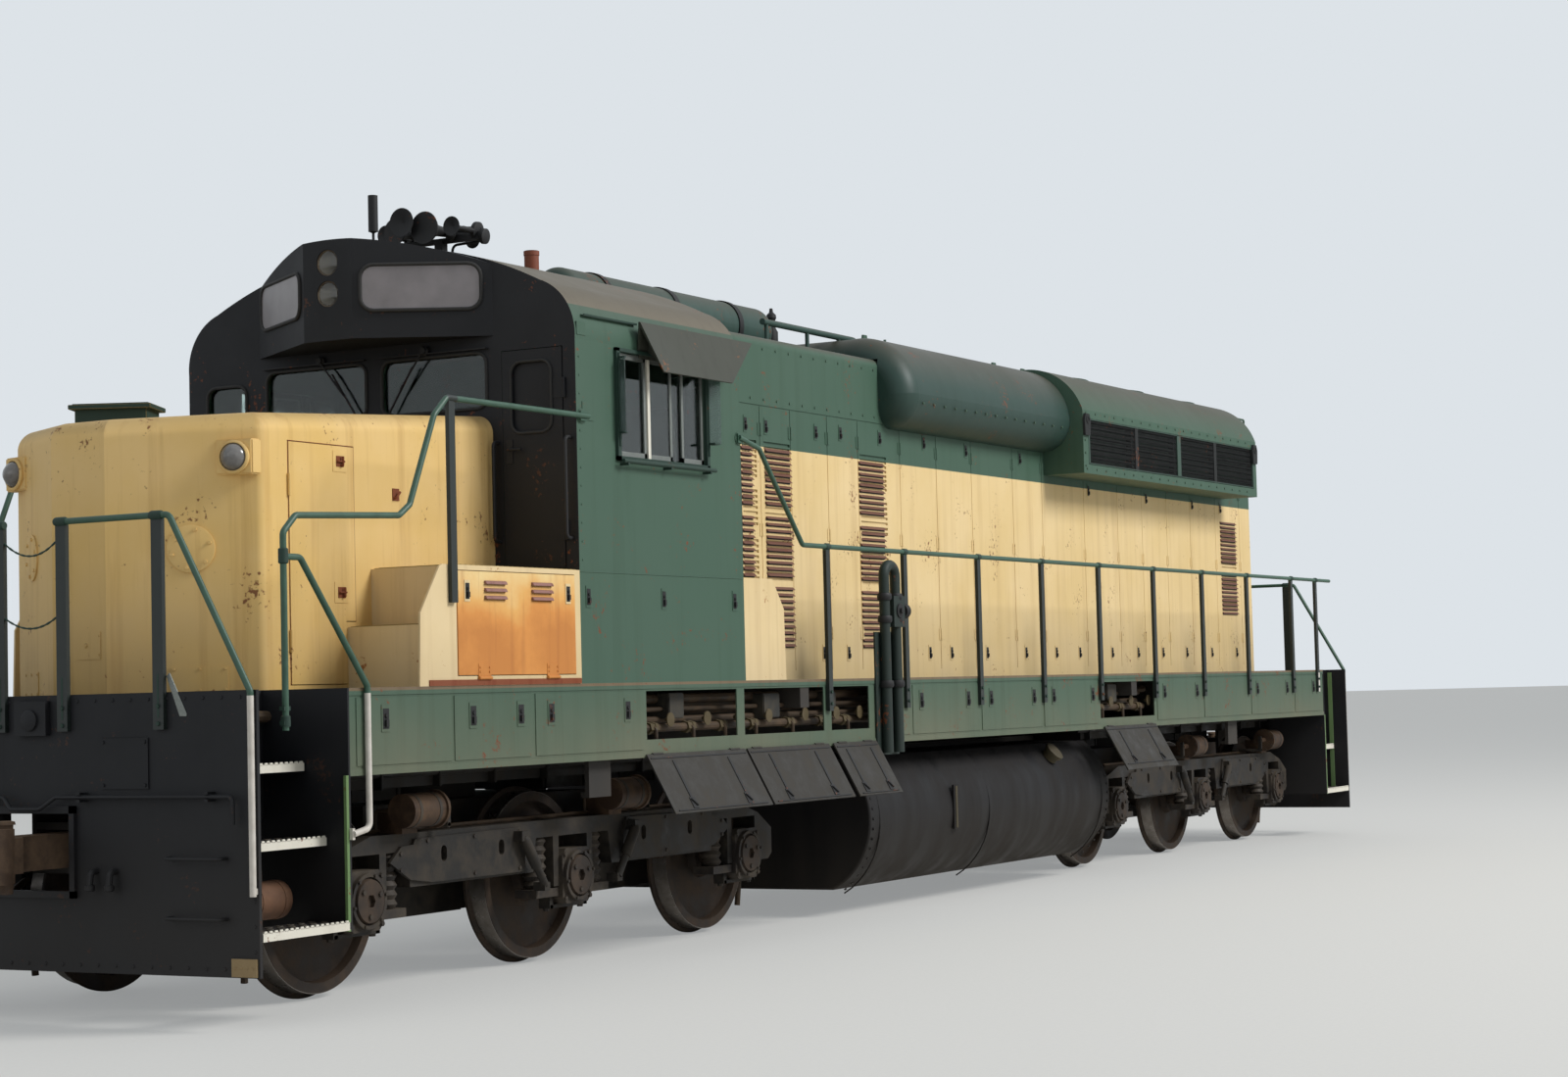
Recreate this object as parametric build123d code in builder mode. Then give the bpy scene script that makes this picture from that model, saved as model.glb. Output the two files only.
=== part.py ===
"""Six-axle diesel road locomotive with a low nose, full size, in millimetres.

Frame: +Z is up, the low nose faces -Y, +X is the locomotive's left side,
Z = 0 is the lowest point of the wheel flanges, and Y = 0 is half-way along.
"""
import os

from build123d import *

os.makedirs("parts", exist_ok=True)

# Platform
platform_half = 8701        # end sheets' outer faces, from the middle
half_width = 1484           # outer face of the side sills and of the cab
deck_z = 1689               # top of the walkway
deck_t = 39
sill_low_z = 1230           # lower lip of the side sills
sill_sheet = 14
lip_height = 36
sill_end_y = 7960           # side sills stop here, steps beyond
end_sheet = 20
step_wall = 14
step_inner_x = 900
pilot_low_z = 260
coupler_z = 876
coupler_face_y = 9252       # pulling face of the knuckle

# Trucks and wheels
truck_y = 5335
axle_pitch = 2070
tread_r = 508
flange = 28
axle_z = tread_r + flange
gauge_back = 676.5          # half the distance between the wheels' backs
wheel_w = 140
axle_r = 98
journal_r = 76
fit = 0.05                  # running fit, on the radius
frame_in_x = 955
frame_t = 165
frame_top_z = 880
swivel_clear = 6

# Long hood
hood_half = 883
hood_wall = 30
hood_front_y = -3812
hood_rear_y = 7605
hood_top_z = 4130
hood_corner = 70

# Cab
cab_front_y = -5752
cab_rear_y = hood_front_y
cab_wall = 45
cab_floor_z = 2340
eave_z = 3736
roof_t = 45

# Nose
nose_half = 883
nose_front_y = -7906
nose_tip_y = -8361
nose_tip_half = 189
nose_low_z = 3183
nose_high_z = 3319

# Handrails
rail_r = 17
rail_bend = 45              # bend radius on the tube's middle line
post_w = 56
post_t = 26
rail_off = 3                # between a rail and the face behind it
rail_x = half_width + rail_r + rail_off
rail_z = 2596

# Root body

# The frame: deck, two I-section centre sills, bolsters, cross members and draft pockets.
centre_sill_x = 330
centre_sill_low = 1130
web_t = 32
flange_w = 220
flange_t = 40
bolster_half = 260
jack_pad_x = 1350
jack_pad_z = 1250
hanger_low_z = 1010
centre_plate_r = 330
truck_top_z = 1006           # top of the truck's bolster
centre_plate_low = truck_top_z + 0.5
pin_y = 8100
pin_r = 48
pocket_t = 40
shank_h = 180
with BuildPart() as underframe:
    with BuildSketch(Plane.XY.offset(deck_z - deck_t)):
        Rectangle(2 * (half_width - sill_sheet), 2 * sill_end_y)
        Rectangle(2 * step_inner_x, 2 * (platform_half - end_sheet))
    extrude(amount=deck_t)
    sill_h = deck_z - deck_t - centre_sill_low
    for side in (-1, 1):
        with BuildSketch(Plane.XZ.offset(platform_half - end_sheet)):
            with Locations((side * centre_sill_x, centre_sill_low + sill_h / 2)):
                Rectangle(web_t, sill_h)
            with Locations((side * centre_sill_x, centre_sill_low + flange_t / 2)):
                Rectangle(flange_w, flange_t)
        extrude(amount=-2 * (platform_half - end_sheet))
    # cross members: y, half length along Y, half width along X, lower z
    cross_members = [(-truck_y, bolster_half, jack_pad_x + 60, jack_pad_z),
                     (truck_y, bolster_half, jack_pad_x + 60, jack_pad_z),
                     (-3000, 60, half_width - sill_sheet, 1500), (-1500, 60, half_width - sill_sheet, 1500),
                     (500, 60, half_width - sill_sheet, 1500), (2900, 60, half_width - sill_sheet, 1500),
                     (-7300, 60, half_width - sill_sheet, 1500), (7300, 60, half_width - sill_sheet, 1500)]
    for y, half_y, half_x, low in cross_members:
        with Locations((0, y, (low + deck_z - deck_t) / 2)):
            Box(2 * half_x, 2 * half_y, deck_z - deck_t - low)
    # hangers that stop a lifted truck, under the bolster's ends
    for end in (-1, 1):
        for side in (-1, 1):
            with Locations((side * (jack_pad_x + 45), end * (truck_y + 130), (hanger_low_z + jack_pad_z) / 2)):
                Box(30, 240, jack_pad_z - hanger_low_z)
            with Locations((side * (jack_pad_x + 15), end * (truck_y + 130), hanger_low_z + 15)):
                Box(90, 150, 30)
    for end in (-1, 1):
        # centre bearing under the bolster
        with Locations((0, end * truck_y, (centre_plate_low + 1300) / 2)):
            Cylinder(centre_plate_r, 1300 - centre_plate_low)
        # draft pocket: two plates and a pin that carry the coupler's shank
        for z in (coupler_z + shank_h / 2 + swivel_clear + pocket_t / 2,
                  coupler_z - shank_h / 2 - swivel_clear - pocket_t / 2):
            with Locations((0, end * (pin_y + 60), z)):
                Box(2 * centre_sill_x, 420, pocket_t)
        with Locations((0, end * pin_y, coupler_z)):
            Cylinder(pin_r, shank_h + 2 * swivel_clear + 2 * pocket_t)
        for side in (-1, 1):
            low = coupler_z - shank_h / 2 - swivel_clear - pocket_t
            with Locations((side * centre_sill_x, end * (pin_y + 60), (low + centre_sill_low) / 2)):
                Box(web_t, 420, centre_sill_low - low)
underframe.part.label = "underframe"
export_step(underframe.part, "parts/underframe.step")

# Side sills: a sheet with a lower lip and openings; the photo's left side has flaps hanging open.
# openings: side, y0, y1, z0, z1
sill_openings = [(1, -5034, -3929, 1338, 1636), (1, -3832, -2745, 1338, 1636),
                 (1, -2638, -2076, 1338, 1636), (1, 2124, 3337, 1320, 1620)]
# raised doors between the seams: y0, y1
sill_doors = [(-7900, -7060), (-7030, -6290), (-6240, -5080), (-1660, -1440), (-1390, -256),
              (-210, 920), (962, 2060), (3400, 4520), (4560, 5780), (5822, 7040), (7084, 7860)]
right_sill_doors = sill_doors + [(-5034, -3890), (-3832, -2745), (-2638, -2076), (2124, 3337)]
door_lift = 5
for side, name in ((1, "sill_left"), (-1, "sill_right")):
    with BuildPart() as side_sill:
        sheet = Plane.YZ.offset(side * (half_width - sill_sheet))
        with BuildSketch(sheet):
            with Locations((0, (sill_low_z + deck_z) / 2)):
                Rectangle(2 * sill_end_y, deck_z - sill_low_z)
            for s, y0, y1, z0, z1 in sill_openings:
                if s == side:
                    with Locations(((y0 + y1) / 2, (z0 + z1) / 2)):
                        Rectangle(y1 - y0, z1 - z0, mode=Mode.SUBTRACT)
        extrude(amount=side * (sill_sheet - door_lift))
        with BuildSketch(Plane.YZ.offset(side * (half_width - door_lift))):
            for y0, y1 in (sill_doors if side > 0 else right_sill_doors):
                with Locations(((y0 + y1) / 2, (1280 + 1636) / 2)):
                    Rectangle(y1 - y0, 1636 - 1280)
        extrude(amount=side * door_lift)
        with BuildSketch(Plane.YZ.offset(side * (half_width - door_lift))):
            with Locations((0, sill_low_z + lip_height / 2)):
                Rectangle(2 * sill_end_y, lip_height)
            with Locations((0, deck_z - 20)):
                Rectangle(2 * sill_end_y, 40)
        extrude(amount=side * door_lift)
    side_sill.part.label = name
    export_step(side_sill.part, "parts/" + name + ".step")

# End sheets with the corner steps.
# treads: top z, outer edge x
treads = [(476, 1484), (913, 1340), (1301, 1200)]
tread_depth = 290
tread_t = 34
tread_mid_y = (sill_end_y + platform_half - end_sheet) / 2
coupler_gap = (250, 200)    # half width, half height of the opening around the coupler
for end, name in ((-1, "front_end"), (1, "rear_end")):
    with BuildPart() as end_piece:
        with BuildSketch(Plane.XZ.offset(-end * platform_half)):
            with Locations((0, (pilot_low_z + deck_z) / 2)):
                Rectangle(2 * half_width, deck_z - pilot_low_z)
            with Locations((0, coupler_z)):
                Rectangle(2 * coupler_gap[0], 2 * coupler_gap[1], mode=Mode.SUBTRACT)
        extrude(amount=end * end_sheet)
        for side in (-1, 1):
            with Locations((side * (step_inner_x + half_width) / 2, end * (sill_end_y + step_wall / 2),
                            (430 + deck_z) / 2)):
                Box(half_width - step_inner_x, step_wall, deck_z - 430)
            with Locations((side * (step_inner_x + step_wall / 2), end * (sill_end_y + platform_half) / 2,
                            (1000 + deck_z) / 2)):
                Box(step_wall, platform_half - sill_end_y, deck_z - 1000)
            for z, x in treads:
                with Locations((side * (x - tread_depth / 2), end * tread_mid_y, z - tread_t / 2)):
                    Box(tread_depth, platform_half - end_sheet - sill_end_y, tread_t)
    end_piece.part.label = name
    export_step(end_piece.part, "parts/" + name + ".step")

# Fuel tank between the trucks, with barrel sides and hanging from the centre sills.
tank_y = (-1950, 2450)
tank_top_z = centre_sill_low
tank_low_z = 190
tank_half = 1400
with BuildPart() as fuel_tank:
    with BuildSketch(Plane.XZ.offset(-tank_y[0])):
        with BuildLine():
            l1 = Line((-1180, tank_top_z), (1180, tank_top_z))
            l2 = ThreePointArc(l1 @ 1, (tank_half, 690), (1080, tank_low_z))
            l3 = Line(l2 @ 1, (-1080, tank_low_z))
            ThreePointArc(l3 @ 1, (-tank_half, 690), l1 @ 0)
        make_face()
    extrude(amount=-(tank_y[1] - tank_y[0]))
    fillet(fuel_tank.faces().filter_by(Axis.Y).edges(), 18)
fuel_tank.part.label = "fuel_tank"
export_step(fuel_tank.part, "parts/fuel_tank.step")

# Engine: one plain block on the deck inside the long hood.
with BuildPart() as engine_block:
    with BuildSketch(Plane.XZ.offset(1500)):
        with BuildLine():
            Polyline((-420, deck_z), (420, deck_z), (420, 2500), (640, 3150), (300, 3500),
                     (-300, 3500), (-640, 3150), (-420, 2500), close=True)
        make_face()
    extrude(amount=-4300)
engine_block.part.label = "engine_block"
export_step(engine_block.part, "parts/engine_block.step")

# Long hood: a shell open below, its side doors raised, with louvre fields.
# louvre fields: y0, y1, then the z spans
louvre_fields = [(-2745, -2541, ((3110, 3385), (2770, 3040), (2390, 2690))),
                 (-2435, -2056, ((3110, 3385), (2770, 3040), (2390, 2690))),
                 (-970, -534, ((3110, 3385), (2770, 3040), (2390, 2690))),
                 (6761, 7178, ((2708, 3183), (2252, 2669)))]
# door seams along the hood
hood_seams = [-3300, -2900, -2490, -2045, -1484, -1000, -301, 340, 989, 1795, 2396, 3308, 4084,
              4675, 5300, 5917, 6615, 7300]
seam_w = 8
seam_deep = 5
slat_pitch = 34
slat_h = 20
slat_deep = 12
with BuildPart() as long_hood:
    with BuildSketch(Plane.XZ.offset(-hood_front_y)):
        with Locations((0, (deck_z + hood_top_z) / 2)):
            Rectangle(2 * hood_half, hood_top_z - deck_z)
    extrude(amount=-(hood_rear_y - hood_front_y))
    fillet(long_hood.edges().filter_by(Axis.Y).group_by(Axis.Z)[-1], hood_corner)
    with BuildSketch(Plane.XZ.offset(-hood_front_y - hood_wall)):
        with Locations((0, (deck_z + hood_top_z - hood_wall) / 2)):
            Rectangle(2 * (hood_half - hood_wall), hood_top_z - hood_wall - deck_z)
    extrude(amount=-(hood_rear_y - hood_front_y - 2 * hood_wall), mode=Mode.SUBTRACT)
    for side in (-1, 1):
        with BuildSketch(Plane.YZ.offset(side * hood_half)):
            for y in hood_seams:
                with Locations((y, (1760 + 3629) / 2)):
                    Rectangle(seam_w, 3629 - 1760)
            with Locations(((hood_front_y + hood_rear_y) / 2, 3629)):
                Rectangle(hood_rear_y - hood_front_y - 200, seam_w)
        extrude(amount=-side * seam_deep, mode=Mode.SUBTRACT)
        with BuildSketch(Plane.YZ.offset(side * hood_half)):
            for y0, y1, spans in louvre_fields:
                for z0, z1 in spans:
                    n = int((z1 - z0) / slat_pitch)
                    for i in range(n):
                        with Locations(((y0 + y1) / 2, z0 + (i + 0.5) * (z1 - z0) / n)):
                            Rectangle(y1 - y0, slat_h)
        extrude(amount=-side * slat_deep, mode=Mode.SUBTRACT)
long_hood.part.label = "long_hood"
export_step(long_hood.part, "parts/long_hood.step")

# Dynamic brake hatch: a bulge over the hood's top edges, with a rounded front.
blister_y = (-640, 2450)
blister_round = 180
upper_top_z = 4318
with BuildPart() as brake_hatch:
    with BuildSketch(Plane.XZ.offset(-blister_y[0])):
        with BuildLine():
            l1 = Line((-600, upper_top_z), (600, upper_top_z))
            l2 = ThreePointArc(l1 @ 1, (1010, 4170), (1145, 3860))
            l3 = ThreePointArc(l2 @ 1, (1080, 3690), (hood_half, 3600))
            l4 = Line(l3 @ 1, (-hood_half, 3600))
            l5 = ThreePointArc(l4 @ 1, (-1080, 3690), (-1145, 3860))
            ThreePointArc(l5 @ 1, (-1010, 4170), l1 @ 0)
        make_face()
    extrude(amount=-(blister_y[1] - blister_y[0]))
    front = brake_hatch.faces().sort_by(Axis.Y)[0]
    fillet(front.edges().filter_by(lambda e: e.center().Z > 3610), blister_round)
    with BuildSketch(Plane.XZ.offset(-blister_y[0])):
        with Locations((0, (3500 + hood_top_z) / 2)):
            Rectangle(2 * hood_half, hood_top_z - 3500)
    extrude(amount=-(blister_y[1] - blister_y[0]), mode=Mode.SUBTRACT)
    # air inlet grilles in the roof: y, half length
    for y, half_y in ((350, 330), (1500, 420)):
        with Locations((0, y, upper_top_z)):
            Box(760, 2 * half_y, 50, mode=Mode.SUBTRACT)
        for i in range(5):
            with Locations((-300 + 150 * i, y, upper_top_z - 12)):
                Box(24, 2 * half_y, 24)
brake_hatch.part.label = "brake_hatch"
export_step(brake_hatch.part, "parts/brake_hatch.step")

# Radiator housing with side grilles and three fan wells in its roof.
radiator_y = (blister_y[1], 6800)
radiator_x = 1261
radiator_low_z = 3406
grille_z = (3484, 3881)
grille_recess = 60
fan_ys = (4100, 5470, 6840)
fan_r = 560
fan_wall = 40
fan_well_z = 4180
stub_r = 60
stub_top_z = fan_well_z + 90
with BuildPart() as radiator_housing:
    with BuildSketch(Plane.XZ.offset(-radiator_y[0])):
        with BuildLine():
            l1 = Line((-640, upper_top_z), (640, upper_top_z))
            l2 = ThreePointArc(l1 @ 1, (1060, 4225), (radiator_x, 3950))
            l3 = Line(l2 @ 1, (radiator_x, radiator_low_z))
            l4 = Line(l3 @ 1, (-radiator_x, radiator_low_z))
            l5 = Line(l4 @ 1, (-radiator_x, 3950))
            ThreePointArc(l5 @ 1, (-1060, 4225), l1 @ 0)
        make_face()
    extrude(amount=-(radiator_y[1] - radiator_y[0]))
    # lower roof raised over the last fan, to the hood's end
    with BuildSketch(Plane.XZ.offset(-radiator_y[1])):
        with BuildLine():
            l1 = Line((-640, upper_top_z), (640, upper_top_z))
            l2 = ThreePointArc(l1 @ 1, (820, 4260), (hood_half, hood_top_z - hood_corner))
            l3 = Line(l2 @ 1, (-hood_half, hood_top_z - hood_corner))
            ThreePointArc(l3 @ 1, (-820, 4260), l1 @ 0)
        make_face()
    extrude(amount=-(hood_rear_y - radiator_y[1]))
    with BuildSketch(Plane.XZ.offset(-radiator_y[0])):
        with Locations((0, (3300 + hood_top_z) / 2)):
            Rectangle(2 * hood_half, hood_top_z - 3300)
    extrude(amount=-(hood_rear_y - radiator_y[0]), mode=Mode.SUBTRACT)
    for side in (-1, 1):
        with BuildSketch(Plane.YZ.offset(side * radiator_x)):
            with Locations(((2560 + 6720) / 2, (grille_z[0] + grille_z[1]) / 2)):
                Rectangle(6720 - 2560, grille_z[1] - grille_z[0])
        extrude(amount=-side * grille_recess, mode=Mode.SUBTRACT)
    with BuildSketch(Plane.XY.offset(upper_top_z)):
        for y in fan_ys:
            with Locations((0, y)):
                Circle(fan_r + fan_wall)
    extrude(amount=70)
    with BuildSketch(Plane.XY.offset(upper_top_z + 70)):
        for y in fan_ys:
            with Locations((0, y)):
                Circle(fan_r)
                Circle(stub_r, mode=Mode.SUBTRACT)
    extrude(amount=-(upper_top_z + 70 - fan_well_z), mode=Mode.SUBTRACT)
    with BuildSketch(Plane.XY.offset(upper_top_z + 70)):
        for y in fan_ys:
            with Locations((0, y)):
                Circle(stub_r + 1)
    extrude(amount=-(upper_top_z + 70 - stub_top_z), mode=Mode.SUBTRACT)
radiator_housing.part.label = "radiator_housing"
export_step(radiator_housing.part, "parts/radiator_housing.step")

# Side grilles: a frame with four fields of slats in each recess.
grille_posts = [2560, 3560, 4600, 5640, 6700]
with BuildPart() as radiator_grilles:
    for side in (-1, 1):
        with BuildSketch(Plane.YZ.offset(side * (radiator_x - grille_recess))):
            for y in grille_posts:
                with Locations((y + 10 if y == 2560 else y, (grille_z[0] + grille_z[1]) / 2)):
                    Rectangle(20, grille_z[1] - grille_z[0])
            for i in range(9):
                with Locations(((2560 + 6710) / 2, grille_z[0] + (i + 0.5) * (grille_z[1] - grille_z[0]) / 9)):
                    Rectangle(6710 - 2560, 16)
        extrude(amount=side * (grille_recess - 10))
radiator_grilles.part.label = "radiator_grilles"
export_step(radiator_grilles.part, "parts/radiator_grilles.step")

# Fan guards: rings and spokes on the rims of the wells.
guard_z = upper_top_z + 70
with BuildPart() as fan_guards:
    with BuildSketch(Plane.XY.offset(guard_z)):
        for y in fan_ys:
            for r in (fan_r + 20, 360, 160):
                with Locations((0, y)):
                    Circle(r + 8)
                    Circle(r - 8, mode=Mode.SUBTRACT)
        for y in fan_ys:
            with Locations((0, y)):
                with PolarLocations(330, 8, start_angle=22.5):
                    Rectangle(460, 14)
    extrude(amount=12)
fan_guards.part.label = "fan_guards"
export_step(fan_guards.part, "parts/fan_guards.step")

# outline of the nose's side door, notched over the lower step: points (y, z)
nose_door_outline = [(-7689, 1712), (-7200, 1712), (-7200, 2060), (-7116, 2060), (-7116, 3040), (-7689, 3040)]
# Low nose: three facets in plan, a roof that rises to the cab, and rounded edges.
with BuildPart() as nose:
    with BuildSketch(Plane.YZ.offset(-nose_half)):
        with BuildLine():
            Polyline((cab_front_y, deck_z), (nose_tip_y, deck_z), (nose_tip_y, nose_low_z - 28),
                     (cab_front_y, nose_high_z), close=True)
        make_face()
    extrude(amount=2 * nose_half)
    with BuildSketch(Plane.XY.offset(deck_z)):
        with BuildLine():
            Polyline((-nose_half, cab_front_y), (-nose_half, nose_front_y), (-nose_tip_half, nose_tip_y),
                     (nose_tip_half, nose_tip_y), (nose_half, nose_front_y), (nose_half, cab_front_y),
                     close=True)
        make_face()
    extrude(amount=2500, mode=Mode.INTERSECT)
    fillet(nose.edges().filter_by(Axis.Z).group_by(Axis.Y)[1], 60)
    fillet(nose.faces().sort_by(Axis.Z)[-1].edges().filter_by(
        lambda e: e.center().Y < cab_front_y - 10), 110)
    # flat ventilator on the roof, turned with the far facet
    with Locations(Location((-300, -7720, nose_low_z + 45), (0, 0, 27))):
        Box(400, 270, 110)
    with Locations(Location((-300, -7720, nose_low_z + 108), (0, 0, 27))):
        Box(460, 330, 22)
    # recess of the side door, with a step for its leaf
    with BuildSketch(Plane.YZ.offset(nose_half)):
        with BuildLine():
            Polyline(*nose_door_outline, close=True)
        make_face()
    extrude(amount=-60, mode=Mode.SUBTRACT)
nose.part.label = "nose"
export_step(nose.part, "parts/nose.step")

# Boxes beside the nose with the steps up to the cab's doors, and steps behind the cab.
box_top_z = 2358
lower_step_z = 2029
side_sheet = 12
# blocks that carry the treads: y0, y1, top z
step_blocks = [(-7190, -6970, lower_step_z), (-6970, cab_front_y, box_top_z),
               (cab_rear_y, -3640, box_top_z), (-3640, -3430, lower_step_z)]
# outer sheets with a slanted edge: points (y, z)
step_sheets = [[(cab_front_y, deck_z), (-7343, deck_z), (-7328, 2087), (-7149, 2343), (-7120, box_top_z),
                (cab_front_y, box_top_z)],
               [(cab_rear_y, deck_z), (-3270, deck_z), (-3282, 2160), (-3430, box_top_z), (cab_rear_y, box_top_z)]]
louvre_door_at = (-6402, 2036)      # middle: y, z
louvre_door_size = (1184, 588)
box_door_t = 20
door_gap = 5
for side, name in ((1, "side_box_left"), (-1, "side_box_right")):
    with BuildPart() as side_box:
        for y0, y1, top in step_blocks:
            with Locations((side * (nose_half + half_width) / 2, (y0 + y1) / 2, (deck_z + top) / 2)):
                Box(half_width - nose_half, y1 - y0, top - deck_z)
        with BuildSketch(Plane.YZ.offset(side * half_width)):
            for points in step_sheets:
                with BuildLine():
                    Polyline(*points, close=True)
                make_face()
        extrude(amount=-side * side_sheet)
        with BuildSketch(Plane.YZ.offset(side * half_width)):
            with Locations(louvre_door_at):
                Rectangle(*louvre_door_size)
        extrude(amount=-side * (box_door_t + door_gap), mode=Mode.SUBTRACT)
    side_box.part.label = name
    export_step(side_box.part, "parts/" + name + ".step")

# Cab: a closed base, hollow walls above the floor, a roof, glass and fittings.
door_x = (955, 1395)        # cab doors, on the left side
cab_door_t = 35
door_low_z = 2375
door_high_z = 3700
windshield_at = (452.5, 3535)       # middle: x, z
windshield_size = (785, 340)
front_window_at = (1170, 3410)
front_window_size = (320, 460)
window_round = 70
door_window_size = (280, 420)
side_window_y = (-5287, -4268)
side_window_z = (3057, 3700)
with BuildPart() as cab_base:
    with Locations((0, (cab_front_y + cab_rear_y) / 2, (deck_z + cab_floor_z) / 2)):
        Box(2 * half_width, cab_rear_y - cab_front_y, cab_floor_z - deck_z)
cab_base.part.label = "cab_base"
export_step(cab_base.part, "parts/cab_base.step")

with BuildPart() as cab_walls:
    with BuildSketch(Plane.XY.offset(cab_floor_z)):
        with Locations((0, (cab_front_y + cab_rear_y) / 2)):
            Rectangle(2 * half_width, cab_rear_y - cab_front_y)
            Rectangle(2 * (half_width - cab_wall), cab_rear_y - cab_front_y - 2 * cab_wall, mode=Mode.SUBTRACT)
    extrude(amount=eave_z - cab_floor_z)
    with BuildSketch(Plane.YZ.offset(-half_width - 1)):
        with Locations(((side_window_y[0] + side_window_y[1]) / 2, (side_window_z[0] + side_window_z[1]) / 2)):
            Rectangle(side_window_y[1] - side_window_y[0], side_window_z[1] - side_window_z[0])
    extrude(amount=2 * half_width + 2, mode=Mode.SUBTRACT)
    # front wall: two windshields and a window beside the nose on the right
    with BuildSketch(Plane.XZ.offset(-cab_front_y + 1)):
        for side in (-1, 1):
            with Locations((side * windshield_at[0], windshield_at[1])):
                RectangleRounded(*windshield_size, window_round)
        with Locations((-front_window_at[0], front_window_at[1])):
            RectangleRounded(*front_window_size, window_round)
    extrude(amount=-(cab_wall + 2), mode=Mode.SUBTRACT)
    # door openings, front and rear, on the left
    for y in (cab_front_y, cab_rear_y - cab_wall):
        with BuildSketch(Plane.XZ.offset(-y + 1)):
            with Locations(((door_x[0] + door_x[1]) / 2, (door_low_z + door_high_z) / 2)):
                Rectangle(door_x[1] - door_x[0], door_high_z - door_low_z)
        extrude(amount=-(cab_wall + 2), mode=Mode.SUBTRACT)
cab_walls.part.label = "cab_walls"
export_step(cab_walls.part, "parts/cab_walls.step")

with BuildPart() as cab_roof:
    with BuildSketch(Plane.XZ.offset(-cab_front_y)):
        with BuildLine():
            l1 = Line((-half_width, eave_z), (half_width, eave_z))
            l2 = ThreePointArc(l1 @ 1, (1425, 3968), (1240, 4110))
            l3 = ThreePointArc(l2 @ 1, (0, 4405), (-1240, 4110))
            ThreePointArc(l3 @ 1, (-1425, 3968), l1 @ 0)
        make_face()
    extrude(amount=-(cab_rear_y - cab_front_y))
    with BuildSketch(Plane.XZ.offset(-cab_front_y - cab_wall)):
        with BuildLine():
            l1 = Line((-half_width + roof_t, eave_z), (half_width - roof_t, eave_z))
            l2 = ThreePointArc(l1 @ 1, (1385, 3945), (1215, 4072))
            l3 = ThreePointArc(l2 @ 1, (0, 4405 - roof_t), (-1215, 4072))
            ThreePointArc(l3 @ 1, (-1385, 3945), l1 @ 0)
        make_face()
    extrude(amount=-(cab_rear_y - cab_front_y - 2 * cab_wall), mode=Mode.SUBTRACT)
cab_roof.part.label = "cab_roof"
export_step(cab_roof.part, "parts/cab_roof.step")

# Panes in the middle of the walls: side windows, windshields and the far front window.
pane_t = 8
with BuildPart() as cab_glass:
    for side in (-1, 1):
        with Locations((side * (half_width - cab_wall / 2), (side_window_y[0] + side_window_y[1]) / 2,
                        (side_window_z[0] + side_window_z[1]) / 2)):
            Box(pane_t, side_window_y[1] - side_window_y[0], side_window_z[1] - side_window_z[0])
    with BuildSketch(Plane.XZ.offset(-cab_front_y - (cab_wall - pane_t) / 2)):
        for side in (-1, 1):
            with Locations((side * windshield_at[0], windshield_at[1])):
                RectangleRounded(*windshield_size, window_round)
        with Locations((-front_window_at[0], front_window_at[1])):
            RectangleRounded(*front_window_size, window_round)
    extrude(amount=-pane_t)
cab_glass.part.label = "cab_glass"
export_step(cab_glass.part, "parts/cab_glass.step")

# Control stand and seats inside the cab.
with BuildPart() as control_stand:
    with BuildSketch(Plane.YZ.offset(-950)):
        with BuildLine():
            Polyline((-5450, cab_floor_z), (-4950, cab_floor_z), (-4950, 3050), (-5150, 3420),
                     (-5450, 3420), close=True)
        make_face()
    extrude(amount=550)
control_stand.part.label = "control_stand"
export_step(control_stand.part, "parts/control_stand.step")

seat_h = 2800
seat_x = 1130
seat_y = -4650
with BuildPart() as seats:
    for x in (-seat_x, seat_x):
        with Locations((x, seat_y, (cab_floor_z + seat_h) / 2)):
            Cylinder(60, seat_h - cab_floor_z)
        with BuildSketch(Plane.XY.offset(seat_h)):
            with Locations((x, seat_y)):
                RectangleRounded(480, 460, 60)
        extrude(amount=100)
        with BuildSketch(Plane.XZ.offset(-seat_y - 170)):
            with Locations((x, seat_h + 370)):
                RectangleRounded(460, 560, 60)
        extrude(amount=-80)
seats.part.label = "seats"
export_step(seats.part, "parts/seats.step")

# Number-board housing over the windshield: three facets in plan.
board_tip_y = -6200
board_tip_half = 183
board_half = 900
with BuildPart() as number_housing:
    with BuildSketch(Plane.XY.offset(3800)):
        with BuildLine():
            Polyline((-board_half, cab_front_y), (-board_tip_half, board_tip_y), (board_tip_half, board_tip_y),
                     (board_half, cab_front_y), close=True)
        make_face()
    extrude(amount=620)
    with BuildSketch(Plane.XZ.offset(-board_tip_y + 10)):
        with BuildLine():
            l1 = Line((-1000, 3790), (1000, 3790))
            l2 = Line(l1 @ 1, (1000, 4190))
            l3 = ThreePointArc(l2 @ 1, (0, 4415), (-1000, 4190))
            Line(l3 @ 1, l1 @ 0)
        make_face()
    extrude(amount=-600, mode=Mode.INTERSECT)
    # headlight openings
    with BuildSketch(Plane.XZ.offset(-board_tip_y)):
        for z in (4275, 4085):
            with Locations((0, z)):
                Circle(80)
    extrude(amount=-70, mode=Mode.SUBTRACT)
number_housing.part.label = "number_housing"
export_step(number_housing.part, "parts/number_housing.step")

with BuildPart() as headlights:
    with BuildSketch(Plane.XZ.offset(-board_tip_y - 15)):
        for z in (4275, 4085):
            with Locations((0, z)):
                Circle(80)
    extrude(amount=-55)
headlights.part.label = "headlights"
export_step(headlights.part, "parts/headlights.step")

# Roof fittings: a cluster of trumpet horns, an aerial and a vent stub, cut to the roof's curve.
horn_y = -5000
horn_bar_z = 4560
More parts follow.
